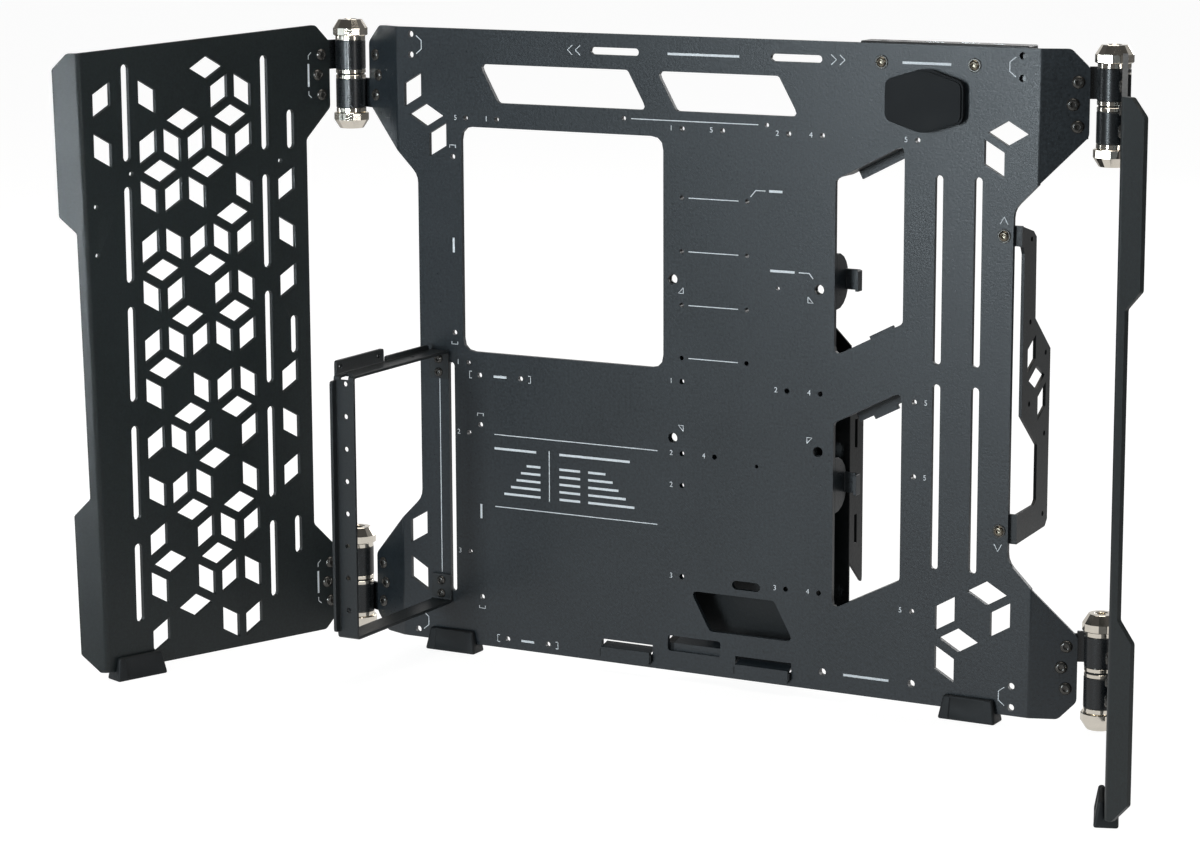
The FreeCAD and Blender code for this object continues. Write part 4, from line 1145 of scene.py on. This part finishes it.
@dataclass
class Hinges:
    """The four friction hinges.

    Attributes:
        bench: the frame.
        lathe: the lathe tree.
        ring_r: radius of the bright rings in millimetres.
        ring_h: half the height of the pair of rings, and the height of a cap's neck.
        groove_h: half the height of the groove between the rings.
        groove_d: depth of the dark ring of painted shade in the groove.
        cap_r: radius of a cap over its corners.
        band_h: height of the band's upper edge.
        tip_r: radius of the tip.
        tip_h: full height of a cap.
        socket_r: radius of the socket over its corners.
        socket_d: depth of the socket.
        cap_rise: from the hinge's middle to the foot of a cap.
        sleeve_r: radius of a sleeve.
        pin_r: radius of the bore of a sleeve.
        play: gap between a sleeve's skin and what it stands on.
        facets: facets of a cap.
        leaf_edge: radius of the edges of the flat leaves.
    """

    bench: Bench
    lathe: Lathe
    ring_r: float = 9.65
    ring_h: float = 3.0
    groove_h: float = 0.5
    groove_d: float = 0.75
    cap_r: float = 11.3
    band_h: float = 7.9
    tip_r: float = 7.8
    tip_h: float = 13.45
    socket_r: float = 2.9
    socket_d: float = 2.55
    cap_rise: float = 21.8
    sleeve_r: float = 9.75
    pin_r: float = 3.8
    play: float = 0.02
    facets: int = 14
    leaf_edge: float = 0.3

    def cap_profile(self) -> Profile:
        """Draws a cap from its seat on the sleeve to the faceted tip with its socket.

        Returns:
            The outline.
        """
        ring, neck, r, band = self.ring_r, self.ring_h, self.cap_r, self.band_h
        tip, top, hexagon = self.tip_r, self.tip_h, self.socket_r
        return Profile("cap_outline", (
            (0.0, 0.0, 0), (ring - 0.3, 0.0, 0), (ring, 0.25, 0), (ring, neck - 0.25, 0),
            (ring - 0.3, neck, 0), (r - 0.5, neck, 1.0), (r, neck + 0.5, 1.0), (r, band, 1.0),
            (r - 0.25, band + 0.4, 1.0), (tip + 0.1, top - 0.25, 1.0),
            (tip - 0.3, top - 0.05, 0.5), (tip - 1.5, top, 0), (hexagon + 1.4, top, 0),
            (hexagon + 1.1, top - 0.35, 0), (hexagon + 0.3, top - 0.35, 0),
            (hexagon, top - 0.55, -1), (hexagon, top - self.socket_d, -1),
            (0.0, top - self.socket_d - 0.1, 0)), self.facets * 8, self.facets)

    def ring_profile(self) -> Profile:
        """Draws the two bright rings with the groove between them.

        Returns:
            The outline, its middle at 0.
        """
        r, half, groove = self.ring_r, self.ring_h, self.groove_h
        upper = ((r - 1.6, groove - 0.05, 0), (r - 0.25, groove, 0), (r, groove + 0.25, 0),
                 (r, half - 0.25, 0), (r - 0.25, half, 0), (0.0, half, 0))
        lower = tuple((reach, -height, weight) for reach, height, weight in reversed(upper))
        return Profile("washer_outline", lower + upper, 64)

    def groove_shade_profile(self) -> Profile:
        """Draws the dark ring in the groove between the bright ones, as painted shade of the
        groove.

        Returns:
            The outline, its middle at 0.
        """
        r, half = self.ring_r - self.groove_d, self.groove_h - 0.03
        return Profile("core_outline", (
            (0.0, -half, 0), (r, -half, 0), (r, half, 0), (0.0, half, 0)), 48)

    def sleeve_profile(self) -> Profile:
        """Draws the smooth skin of a sleeve, closed at both ends.

        Returns:
            The outline, its foot at 0.
        """
        r, low = self.sleeve_r, self.play
        high = self.cap_rise - self.ring_h - self.play
        return Profile("sleeve_outline", (
            (self.pin_r, low, 0), (r - 0.5, low, 0), (r, 0.5, 0), (r, high - 0.48, 0),
            (r - 0.5, high, 0), (self.pin_r, high, 0), (self.pin_r, low, 0)), 64)

    def build(self) -> None:
        """Builds every hinge's bright parts and sleeves."""
        up = Vector((0, 0, 1))
        for level in ("upper", "lower"):
            for side in ("right", "left"):
                name = level + "_" + side
                low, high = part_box(name + "_hinge_pin")
                middle = (low + high) / 2
                rise = up * (self.cap_rise * MM)
                caps = self.lathe.turn(name + "_bright_caps", self.cap_profile(), (
                    (middle + rise, up), (middle - rise, -up)), Finishes.NICKEL)
                self.bench.add(caps, "bench", "nickel", name + "_hinge_caps")
                rings = self.lathe.turn(name + "_bright_rings", self.ring_profile(),
                                        ((middle, up),), Finishes.NICKEL)
                self.bench.add(rings, "bench", "nickel", name + "_hinge_washers")
                # The groove's shade is painted as a dark ring in the rubber finish
                core = self.lathe.turn(name + "_groove", self.groove_shade_profile(),
                                       ((middle, up),), Finishes.RUBBER)
                self.bench.add(core, "bench", "nickel")
                self._sleeves(name, side, middle)
                self.bench.dress(name + "_hinge_pin", Finishes.STEEL)

    def _sleeves(self, name: str, side: str, middle: Vector) -> None:
        """Puts smooth skins over the two sleeves of a hinge, each on its own body.

        Args:
            name: the hinge's name.
            side: its side.
            middle: its middle in metres.
        """
        up = Vector((0, 0, 1))
        for half, body in (("frame", "bench"), ("wing", side + "_wing")):
            node = name + "_" + half + "_knuckle"
            upper = (half == "frame") == (side == "right")
            foot = middle + up * ((self.ring_h if upper else -self.cap_rise) * MM)
            skin = self.lathe.turn(name + "_" + half + "_sleeve", self.sleeve_profile(),
                                   ((foot, up),), Finishes.HINGE)
            self.bench.add(skin, body, "hinge_coat")
            self.bench.dress(node, Finishes.HINGE, self.leaf_edge)


@dataclass
class Screws:
    """Button head screws, each set on its own body.

    Attributes:
        bench: the frame.
        lathe: the lathe tree.
        head_r: radius of a head in millimetres.
        frame_head_r: the same for the supply frame's screws.
        bright_head_r: the same for the bright screws, which stand on a dark ring.
        head_h: height of a head.
        shank_r: radius of a shank.
        socket: radius of the socket, as a share of the head's.
        ring_w: how far a dark ring stands out round a common head.
        bright: nodes of the bright screws.
    """

    bench: Bench
    lathe: Lathe
    head_r: float = 3.8
    frame_head_r: float = 3.0
    bright_head_r: float = 3.25
    head_h: float = 2.2
    shank_r: float = 1.88
    socket: float = 0.42
    ring_w: float = 0.35
    bright: tuple[str, ...] = ("side_bracket_screws", "connection_box_screws")

    def profile(self, length: float, r: float) -> Profile:
        """Draws a screw.

        Args:
            length: its full length in millimetres.
            r: radius of its head in millimetres.

        Returns:
            The outline, the foot of the shank at 0.
        """
        seat = length - self.head_h
        s = r * self.socket
        return Profile("screw_outline", (
            (0.0, 0.0, 0), (self.shank_r - 0.3, 0.0, 0), (self.shank_r, 0.4, 0),
            (self.shank_r, seat, 0), (r - 0.15, seat, 0), (r, seat + 0.15, 0),
            (r, seat + 0.45, 0), (r * 0.95, seat + 0.85, 0), (r * 0.86, seat + 1.25, 0),
            (r * 0.74, seat + 1.6, 0), (r * 0.60, seat + 1.8, 0), (s + 0.2, seat + 1.85, 0),
            (s, seat + 1.7, -1), (s, seat + 0.45, -1), (0.0, seat + 0.25, 0)), 24)

    def ring_profile(self) -> Profile:
        """Draws the dark ring under a bright head.

        Returns:
            The outline, its foot on the panel at 0.
        """
        hole, r, edge = self.shank_r, self.head_r, self.head_r + self.ring_w
        return Profile("ring_outline", (
            (hole, 0.0, 0), (edge, 0.0, 0), (edge, 0.35, 0), (r, 0.6, 0), (hole, 0.6, 0),
            (hole, 0.0, 0)), 32)

    def axis(self, node: str) -> Vector:
        """Finds the direction of the heads.

        Args:
            node: name of the CAD screws.

        Returns:
            The direction, square to the steel that the heads stand on.
        """
        if node.startswith("drive_tray"):
            return Vector((0, 1, 0))
        if not node.startswith(("upper_", "lower_")):
            return Vector((0, -1, 0))
        sign = 1.0 if "right" in node else -1.0
        lean = math.radians(TAB_LEAN if "_frame_" in node else WING_LEAN)
        return Vector((sign * math.sin(lean), -math.cos(lean), 0))

    def build(self) -> None:
        """Builds the screws of every node that holds some."""
        for node, piece in self.bench.frame["nodes"].items():
            if not node.endswith("_screws"):
                continue
            axis = self.axis(node)
            places = []
            length = 0.0
            for island in islands(piece):
                middle, low, high = island.on_axis(axis)
                places.append((middle + axis * low, axis))
                length = (high - low) / MM
            body = "bench"
            if "_wing_screws" in node:
                body = ("right" if "right" in node else "left") + "_wing"
            radius = self.frame_head_r if node == "supply_frame_screws" else self.head_r
            finish, slot = Finishes.BLACK_STEEL, "screw_steel"
            if node in self.bright:
                radius, finish, slot = self.bright_head_r, Finishes.BRONZE, "screw_nickel"
                seat = length - self.head_h
                feet = [(spot + axis * (seat * MM), axis) for spot, axis in places]
                rings = self.lathe.turn(node + "_rings", self.ring_profile(), feet,
                                        Finishes.BLACK_STEEL)
                self.bench.add(rings, body, "screw_steel")
            made = self.lathe.turn(node + "_turned", self.profile(length, radius), places, finish)
            self.bench.add(made, body, slot, node)


@dataclass(frozen=True)
class BushKind:
    """Bushes of one kind.

    Attributes:
        name: name of their piece.
        holes: their holes, from the upper left board hole.
        bore: radius of the bore in millimetres.
        proud: how far they reach behind the panel in millimetres.
    """

    name: str
    holes: tuple[Point, ...]
    bore: float
    proud: float


@dataclass
class Bushes:
    """Threaded bushes pressed into the back of the panel behind its screw holes.

    Attributes:
        bench: the frame.
        lathe: the lathe tree.
        plate: thickness of the panel in millimetres.
        wall: wall of a bush in millimetres.
        kinds: the kinds of bush.
    """

    bench: Bench
    lathe: Lathe
    plate: float = 3.0
    wall: float = 1.1
    kinds: tuple[BushKind, ...] = (
        BushKind("board_bushes", tuple(h for holes in BOARD_HOLES.values() for h in holes),
                 1.6, 1.3),
        BushKind("drive_bushes", tuple((x, z) for z in DRIVE_ROWS for x in DRIVE_COLUMNS),
                 1.4, 3.2),
        BushKind("stand_bushes", tuple((x, z) for z in STAND_ROWS for x in STAND_COLUMNS),
                 2.75, 1.6),
        BushKind("port_bushes", tuple((x, PORT_ROW) for x in PORT_COLUMNS), 2.3, 1.6))

    def profile(self, bore: float, proud: float) -> Profile:
        """Draws one bush.

        Args:
            bore: radius of the bore in millimetres.
            proud: its length in millimetres.

        Returns:
            The outline, its foot on the back of the panel at 0.
        """
        outer = bore + self.wall
        return Profile("bush_outline", (
            (bore, 0.0, 0), (outer, 0.0, 0), (outer, proud - 0.3, 0), (outer - 0.3, proud, 0),
            (bore + 0.2, proud, 0), (bore, proud - 0.2, 0), (bore, 0.0, 0)), 20)

    def build(self) -> None:
        """Sets every kind of bush."""
        back = Vector((0, 1, 0))
        for kind in self.kinds:
            places = [(self.bench.origin + Vector((x, self.plate, z)) * MM, back)
                      for x, z in kind.holes]
            made = self.lathe.turn(kind.name, self.profile(kind.bore, kind.proud), places,
                                   Finishes.HINGE)
            self.bench.add(made, "bench", "screw_steel")


@dataclass
class Tongues:
    """Sides of the sprung tongues along the panel's lower edge, in the tray's darker coat as
    painted shade.

    Attributes:
        bench: the frame.
        front: (from, to) of each front tongue along the panel in millimetres.
        slit: width of the slit beside a front tongue.
        back: (from, to) of the slit beside the tongue behind the panel.
        cheek: outline of a front side, as (depth, height) from the board hole.
        plate: outline of the back side.
    """

    bench: Bench
    front: tuple[Point, ...] = ((97.3, 134.2), (192.7, 231.5))
    slit: float = 1.05
    back: Point = (142.5, 148.05)
    cheek: tuple[Point, ...] = ((-2.6, -339.4), (2.6, -339.4), (2.6, -334.8), (-2.6, -334.8))
    plate: tuple[Point, ...] = ((3.05, -334.8), (5.95, -334.8), (5.95, -326.85),
                                (11.65, -325.4), (11.65, -324.05), (3.05, -326.25))

    def build(self) -> None:
        """Closes the sides of all three tongues."""
        solids = [((x, x + self.slit), self.cheek) for left, right in self.front
                  for x in (left, right - self.slit)]
        solids.append((self.back, self.plate))
        points: list[Vector] = []
        faces: list[list[int]] = []
        for span, outline in solids:
            first, count = len(points), len(outline)
            for x in span:
                points += [self.bench.origin + Vector((x, y, z)) * MM for y, z in outline]
            faces.append([first + i for i in range(count)])
            faces.append([first + count + i for i in reversed(range(count))])
            faces += [[first + (i + 1) % count, first + i, first + count + i,
                       first + count + (i + 1) % count] for i in range(count)]
        mesh = mesh_of("tongue_sides", points, (), faces)
        work = bmesh.new()
        work.from_mesh(mesh)
        bmesh.ops.recalc_face_normals(work, faces=work.faces)
        work.to_mesh(mesh)
        work.free()
        # The sides are panel steel in the tray's darker coat: painted shade
        mesh.materials.append(Finishes.TRAY.material())
        self.bench.add(new_object("tongue_sides", mesh), "bench", "panel_coat")


class Mark(Enum):
    """Arrow heads of the print, drawn about one point."""

    CHEVRON_LEFT = ((3.4, 3.0), (0.0, 0.0), (3.4, -3.0))
    CHEVRON_RIGHT = ((-3.4, 3.0), (0.0, 0.0), (-3.4, -3.0))
    CARET_UP = ((-2.4, -4.4), (0.0, 0.0), (2.4, -4.4))
    CARET_DOWN = ((-2.4, 4.4), (0.0, 0.0), (2.4, 4.4))

    def at(self, x: float, z: float) -> list[Point]:
        """The mark's line moved to a point of the grid."""
        return [(x + a, z + b) for a, b in self.value]


@dataclass
class PanelPrint:
    """Screen print on the panel's front, in millimetres from the upper left board hole.

    Attributes:
        bench: the frame.
        pen: the stroke tree.
        line: width of a line.
        bar: width of a bar.
        height: thickness of the ink.
        digit: size of the figures beside the board holes.
        beside: from a board hole to its figure.
        leader_row: height of the upper leader.
        stand_row: height of the leader to the display stand.
        legend: left and right end of the legend's lines.
        columns: left edge of the legend's columns, the first one's right edge.
        legend_row: height of the legend's first row of bars.
        legend_pitch: distance from row to row.
        letters: letters in each row's long words.
        letter: width of a letter in the first and the last column.
        word: length of the short words in the middle column.
        beyond: from a supply hole to the bracket outside it.
        hook: half the width of that bracket, and the length of its ends.
    """

    bench: Bench
    pen: Pen
    line: float = 0.55
    bar: float = 1.5
    height: float = 0.07
    digit: float = 4.6
    beside: float = 7.5
    leader_row: float = -35.4
    stand_row: float = -84.0
    legend: Point = (19.2, 137.7)
    columns: tuple[float, float, float] = (53.0, 67.0, 88.0)
    legend_row: float = -221.4
    legend_pitch: float = 4.9
    letters: tuple[int, ...] = (24, 34, 42, 52, 64)
    letter: Point = (0.42, 0.52)
    word: float = 15.12
    beyond: float = 5.8
    hook: Point = (2.2, 1.7)

    def lines(self) -> list[list[Point]]:
        """Draws the thin lines: drive rows, edge marks, leaders and the legend's frame.

        Returns:
            The lines.
        """
        row, low = self.leader_row, self.stand_row
        found = [[(159.5, z), (193.8, z)] for z in DRIVE_ROWS]
        found += [[(x, z) for x in self.legend] for z in (-202.7, -250.0)]
        found += [[(119.5, 4.7), (207.0, 4.7)], [(-21.5, -168.8), (-21.5, -297.7)],
                  [(202.0, row - 4.1), (205.5, row), (212.0, row)],
                  [(234.8, low), (241.8, low), (244.4, low - 3.2)],
                  [(59.6, -210.0), (59.6, -243.0)]]
        heads = ((Mark.CHEVRON_LEFT, 74.6, 45.7), (Mark.CHEVRON_LEFT, 80.2, 45.7),
                 (Mark.CHEVRON_RIGHT, 258.7, 45.7), (Mark.CHEVRON_RIGHT, 264.3, 45.7),
                 (Mark.CARET_UP, 367.7, -42.4), (Mark.CARET_DOWN, 367.3, -243.4))
        found += [mark.at(x, z) for mark, x, z in heads]
        return found + self.corner_brackets() + self.supply_brackets() + self.stand_marks()

    def corner_brackets(self) -> list[list[Point]]:
        """Draws the brackets beside the pairs of corner holes.

        Returns:
            One line for each pair.
        """
        found = []
        for x, side in ((-40.3, 1), (377.5, -1)):
            near, far = x + side * 4.2, x + side * 8.0
            for high, low in ((52.0, 38.9), (-325.3, -338.4)):
                found.append([(near, high - 0.8), (far, high - 3.8), (far, low + 3.8),
                              (near, low + 0.8)])
        return found

    def supply_brackets(self) -> list[list[Point]]:
        """Draws the brackets outside each pair of supply holes.

        Returns:
            One line for each bracket.
        """
        half, deep = self.hook
        near, far = self.beyond, self.beyond + deep
        found = []
        for x, high, low in ((-9.8, -25.0, -138.5), (8.8, -197.3, -311.2)):
            for z, way in ((high, 1), (low, -1)):
                tip, bar = z + way * near, z + way * far
                found.append([(x - half, tip), (x - half, bar), (x + half, bar),
                              (x + half, tip)])
        for left, right, z in ((8.5, 38.8, -165.0), (27.7, 57.7, -337.3)):
            for x, way in ((left, -1), (right, 1)):
                tip, bar = x + way * near, x + way * far
                found.append([(tip, z + half), (bar, z + half), (bar, z - half),
                              (tip, z - half)])
        return found

    def stand_marks(self) -> list[list[Point]]:
        """Draws the small triangles inside the display stand's square of holes.

        Returns:
            One closed line for each hole.
        """
        found = []
        for x, side in zip(STAND_COLUMNS, (1, -1)):
            for z, way in zip(STAND_ROWS, (-1, 1)):
                near, far = x + side * 4.0, x + side * 7.4
                high, low = z + way * 4.8, z + way * 8.4
                found.append([(far, high), (far, low), (near, low), (far, high)])
        return found

    def bars(self) -> list[list[Point]]:
        """Draws the short bars that stand where the panel has words.

        Returns:
            One line for each bar.
        """
        first, second, third = self.columns
        across = ((145.0, 194.0, 45.5), (301.6, 332.7, 45.5), (267.0, 297.3, PORT_ROW),
                  (215.6, 232.0, self.stand_row), (214.5, 223.5, self.leader_row),
                  (19.2, 50.0, -211.8), (67.0, 118.0, -211.8))
        found = [[(left, z), (right, z)] for left, right, z in across]
        for i, letters in enumerate(self.letters):
            z = self.legend_row - self.legend_pitch * i
            found += [[(first - letters * self.letter[0], z), (first, z)],
                      [(second, z), (second + self.word, z)],
                      [(third, z), (third + letters * self.letter[1], z)]]
        found += [[(-9.8, -77.0), (-9.8, -86.5)], [(8.8, -249.5), (8.8, -259.0)],
                  [(19.0, -165.0), (28.5, -165.0)], [(38.0, -337.3), (47.5, -337.3)]]
        return found

    def figures(self) -> bpy.types.Mesh:
        """Writes the figures 1 to 5 beside the board holes.

        Returns:
            The figures, flat in the XY plane.
        """
        work = bmesh.new()
        right_of_hole = ((COLUMNS[7], ROWS[1]), (COLUMNS[7], ROWS[2]))
        for figure, holes in BOARD_HOLES.items():
            for x, z in holes:
                side = 1 if (x, z) in right_of_hole else -1
                curve = bpy.data.curves.new("figure", "FONT")
                curve.body = figure
                curve.size = self.digit * MM
                curve.extrude = self.height * MM / 2
                curve.align_x = "CENTER"
                curve.align_y = "CENTER"
                text = bpy.data.objects.new("figure", curve)
                mesh = bpy.data.meshes.new_from_object(text)
                shift = Vector((x + side * self.beside, z, 0.0)) * MM
                mesh.transform(Matrix.Translation(shift))
                work.from_mesh(mesh)
                bpy.data.objects.remove(text)
                bpy.data.meshes.remove(mesh)
        made = bpy.data.meshes.new("figures")
        work.to_mesh(made)
        work.free()
        made.materials.append(Finishes.INK.material())
        return made

    def place(self, piece: bpy.types.Object) -> None:
        """Stands a flat drawing up on the panel's front face and rides it.

        Args:
            piece: the drawing.
        """
        stand = Matrix.Rotation(math.radians(90.0), 4, "X")
        piece.data.transform(Matrix.Translation(self.bench.origin) @ stand)
        piece.data.update()
        self.bench.add(piece, "bench", "panel_coat")

    def build(self) -> None:
        """Prints lines, bars and figures."""
        self.place(self.pen.draw("panel_print_lines", self.lines(), self.line, self.height))
        self.place(self.pen.draw("panel_print_bars", self.bars(), self.bar, self.height))
        self.place(new_object("panel_print_figures", self.figures()))


@dataclass
class WingPrint:
    """Bars with slanted ends beside the hinges, on the inner face of each wing.

    Attributes:
        bench: the frame.
        pen: the stroke tree.
        gap: from the hinge axis to the plate's edge in millimetres.
        stand: from the hinge axis to the plate's face in millimetres.
        across: from the plate's edge to the bar in millimetres.
        middles: heights of the two bars, from the upper left board hole.
        line: width of a line.
        bar: width of a bar.
        height: thickness of the ink.
        bar_half: half the length of a bar.
        bracket: heights of a bracket's three points above the bar's middle.
        slant: how far its end leans towards the hinge.
    """

    bench: Bench
    pen: Pen
    gap: float = 13.6
    stand: float = 4.7
    across: float = 17.0
    middles: tuple[float, float] = (24.5, -310.5)
    line: float = 0.5
    bar: float = 1.4
    height: float = 0.07
    bar_half: float = 7.4
    bracket: tuple[float, float, float] = (14.6, 12.6, 10.2)
    slant: float = 2.2

    def build(self) -> None:
        """Prints both wings."""
        x = self.gap + self.across
        tip, bend, end = self.bracket
        lines = [[(x - self.slant, z + way * tip), (x, z + way * bend), (x, z + way * end)]
                 for z in self.middles for way in (1, -1)]
        bars = [[(x, z - self.bar_half), (x, z + self.bar_half)] for z in self.middles]
        joints = {j["name"]: j for j in self.bench.frame["record"]["behaviour"]["joints"]}
        for side, way in (("right", 1.0), ("left", -1.0)):
            axis = Vector(joints[side + "_wing_hinge"]["pos_m"])
            place = (Matrix.Translation((axis.x, axis.y, self.bench.origin.z))
                     @ Matrix.Diagonal((way, 1.0, 1.0, 1.0))
                     @ Matrix.Rotation(math.radians(WING_LEAN), 4, "Z")
                     @ Matrix.Translation((0.0, self.stand * MM, 0.0))
                     @ Matrix.Rotation(math.radians(90.0), 4, "X"))
            for label, drawing, width in (("lines", lines, self.line),
                                          ("bars", bars, self.bar)):
                piece = self.pen.draw(side + "_wing_print_" + label, drawing, width,
                                      self.height)
                piece.data.transform(place)
                if way < 0:
                    piece.data.flip_normals()
                self.bench.add(piece, side + "_wing", "wing_coat")


# Studio


@dataclass
class Lamp:
    """Soft box.

    Attributes:
        name: its name.
        place: where it hangs, in metres.
        target: what it looks at.
        size: its width and height in metres.
        power: its power in watts.
        colour: its colour.
        beam: width of its beam in degrees.
    """

    name: str
    place: Place
    target: Place
    size: tuple[float, float]
    power: float
    colour: Colour = (1.0, 1.0, 1.0)
    beam: float = 180.0

    def build(self) -> None:
        """Adds the lamp."""
        data = bpy.data.lights.new(self.name, "AREA")
        data.shape = "RECTANGLE"
        data.size, data.size_y = self.size
        data.energy = self.power
        data.color = self.colour
        data.spread = math.radians(self.beam)
        lamp = bpy.data.objects.new(self.name, data)
        lamp.location = self.place
        aim = Vector(self.target) - Vector(self.place)
        lamp.rotation_mode = "QUATERNION"
        lamp.rotation_quaternion = aim.to_track_quat("-Z", "Y")
        bpy.context.scene.collection.objects.link(lamp)


@dataclass
class Studio:
    """Camera, soft boxes, pale floor and white background.

    Attributes:
        lens: focal length in millimetres.
        film: width of the film in millimetres.
        eye: where the camera stands, in metres.
        right: direction of the picture's right side.
        up: direction of its upper side.
        ambient: strength of the soft light all round.
        floor_half: half the floor's width in metres.
        floor_white: strength of the floor's glow as the camera sees it.
        floor_glow: share of that glow in what the camera sees; the rest is lit paper.
        floor_gloss: the same in reflections.
        lamps: the soft boxes.
    """

    lens: float = 101.85
    film: float = 36.0
    eye: Place = (0.9448, -1.78025, 0.5525)
    right: Place = (0.8764, 0.4815, -0.0038)
    up: Place = (-0.0851, 0.1627, 0.983)
    ambient: float = 0.30
    floor_half: float = 20.0
    floor_white: float = 1.25
    floor_glow: float = 0.72
    floor_gloss: float = 0.85
    lamps: tuple[Lamp, ...] = (
        Lamp("key_box", (-0.58, -2.6, 0.56), (0.0, 0.0, 0.25), (0.50, 1.05), 36.0,
             (0.82, 0.93, 1.0)),
        Lamp("side_box", (2.05, -0.95, 0.65), (0.0, 0.0, 0.22), (0.30, 1.2), 7.0),
        Lamp("left_box", (-2.5, -0.62, 0.40), (-0.35, -0.15, 0.3), (0.5, 0.74), 8.0,
             (0.88, 0.95, 1.0)),
        Lamp("flange_box", (0.20, -2.4, 0.16), (-0.42, -0.16, 0.28), (0.36, 0.30), 0.34,
             (0.86, 0.94, 1.0), 12.0),
        Lamp("back_box", (0.5, 2.5, 0.9), (0.0, 0.0, 0.2), (1.3, 0.8), 12.0),
        Lamp("top_box", (0.1, 0.3, 2.4), (0.0, 0.0, 0.0), (2.0, 1.6), 30.0,
             (1.0, 0.95, 0.88)))

    def camera(self) -> None:
        """Camera at the photograph's place and angle."""
        data = bpy.data.cameras.new("camera")
        data.sensor_width = self.film
        data.lens = self.lens
        data.clip_start, data.clip_end = 0.05, 60.0
        eye = bpy.data.objects.new("camera", data)
        right = Vector(self.right).normalized()
        up = (Vector(self.up) - right * Vector(self.up).dot(right)).normalized()
        back = right.cross(up)
        eye.matrix_world = Matrix.Translation(self.eye) @ Matrix(
            (right, up, back)).transposed().to_4x4()
        bpy.context.scene.collection.objects.link(eye)
        bpy.context.scene.camera = eye

    def floor(self) -> None:
        """Pale table top that keeps the object's shadow."""
        half = self.floor_half
        mesh = mesh_of("floor", ((-half, -half, 0), (half, -half, 0),
                                 (half, half, 0), (-half, half, 0)), (), ((0, 1, 2, 3),))
        made = bpy.data.materials.new("pale_floor")
        made.use_nodes = True
        made.node_tree.nodes.clear()
        graph = Graph(made.node_tree)
        rays = graph.node("ShaderNodeLightPath")
        plain = graph.node("ShaderNodeBsdfDiffuse", inputs={"Color": (0.80, 0.80, 0.80, 1.0)})
        camera = Sock(graph, rays.outputs["Is Camera Ray"])
        gloss = Sock(graph, rays.outputs["Is Glossy Ray"])
        clear = Sock(graph, rays.outputs["Is Transmission Ray"])
        place = graph.node("ShaderNodeTexCoord").outputs["Object"]
        reach = graph.number("ShaderNodeVectorMath", {"operation": "LENGTH"}, {0: place}, 1)
        near = (1.75 - reach * 1.5).most(0.0).least(1.0)
        direct = (camera + clear).least(1.0)
        strength = direct * self.floor_white + gloss * (near * 0.66 + 0.10)
        glow = graph.node("ShaderNodeEmission", inputs={
            "Color": (1, 1, 1, 1), "Strength": strength})
        seen = direct * self.floor_glow + gloss * self.floor_gloss
        mixed = graph.node("ShaderNodeMixShader", inputs={
            0: seen, 1: plain.outputs[0], 2: glow.outputs[0]})
        graph.node("ShaderNodeOutputMaterial", inputs={"Surface": mixed.outputs[0]})
        mesh.materials.append(made)
        new_object("floor", mesh)

    def sky(self) -> None:
        """White to the camera, soft grey light on the bench.

        In gloss it is dim overhead, paler at the horizon and palest behind the bench.
        """
        world = bpy.data.worlds.new("studio")
        world.use_nodes = True
        world.node_tree.nodes.clear()
        graph = Graph(world.node_tree)
        rays = graph.node("ShaderNodeLightPath")
        camera = Sock(graph, rays.outputs["Is Camera Ray"])
        clear = Sock(graph, rays.outputs["Is Transmission Ray"])
        gloss = Sock(graph, rays.outputs["Is Glossy Ray"])
        view = graph.node("ShaderNodeTexCoord").outputs["Generated"]
        parts = graph.node("ShaderNodeSeparateXYZ", inputs={0: view})
        behind = (Sock(graph, parts.outputs[1]) * 2.5 - 0.6).most(0.0).least(1.0)
        low = (1 - Sock(graph, parts.outputs[2]).call("ABSOLUTE") * 1.5).most(0.0)
        mirror = 0.07 + low * (0.20 + behind * 0.75)
        seen = (camera + clear).least(1.0)
        strength = seen + (1 - seen) * (self.ambient * (1 - gloss) + gloss * mirror)
        made = graph.node("ShaderNodeBackground", inputs={
            "Color": (1, 1, 1, 1), "Strength": strength})
        graph.node("ShaderNodeOutputWorld", inputs={"Surface": made.outputs[0]})
        bpy.context.scene.world = world

    def build(self) -> None:
        """Sets the studio up."""
        self.camera()
        self.floor()
        self.sky()
        for lamp in self.lamps:
            lamp.build()
        bpy.context.scene.view_settings.view_transform = "Standard"
        LOG.info("studio is up")


def main() -> None:
    """Builds the bench in order and reports each piece."""
    logging.basicConfig(level=logging.INFO, format="%(message)s")
    bench = Bench(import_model())
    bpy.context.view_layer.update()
    Studio().build()
    Sheets(bench).build()
    Mouldings(bench).build()
    Feet(bench).build()
    lathe = Lathe()
    Hinges(bench, lathe).build()
    Screws(bench, lathe).build()
    Bushes(bench, lathe).build()
    Tongues(bench).build()
    pen = Pen()
    PanelPrint(bench, pen).build()
    WingPrint(bench, pen).build()


if __name__ == "__main__":
    main()
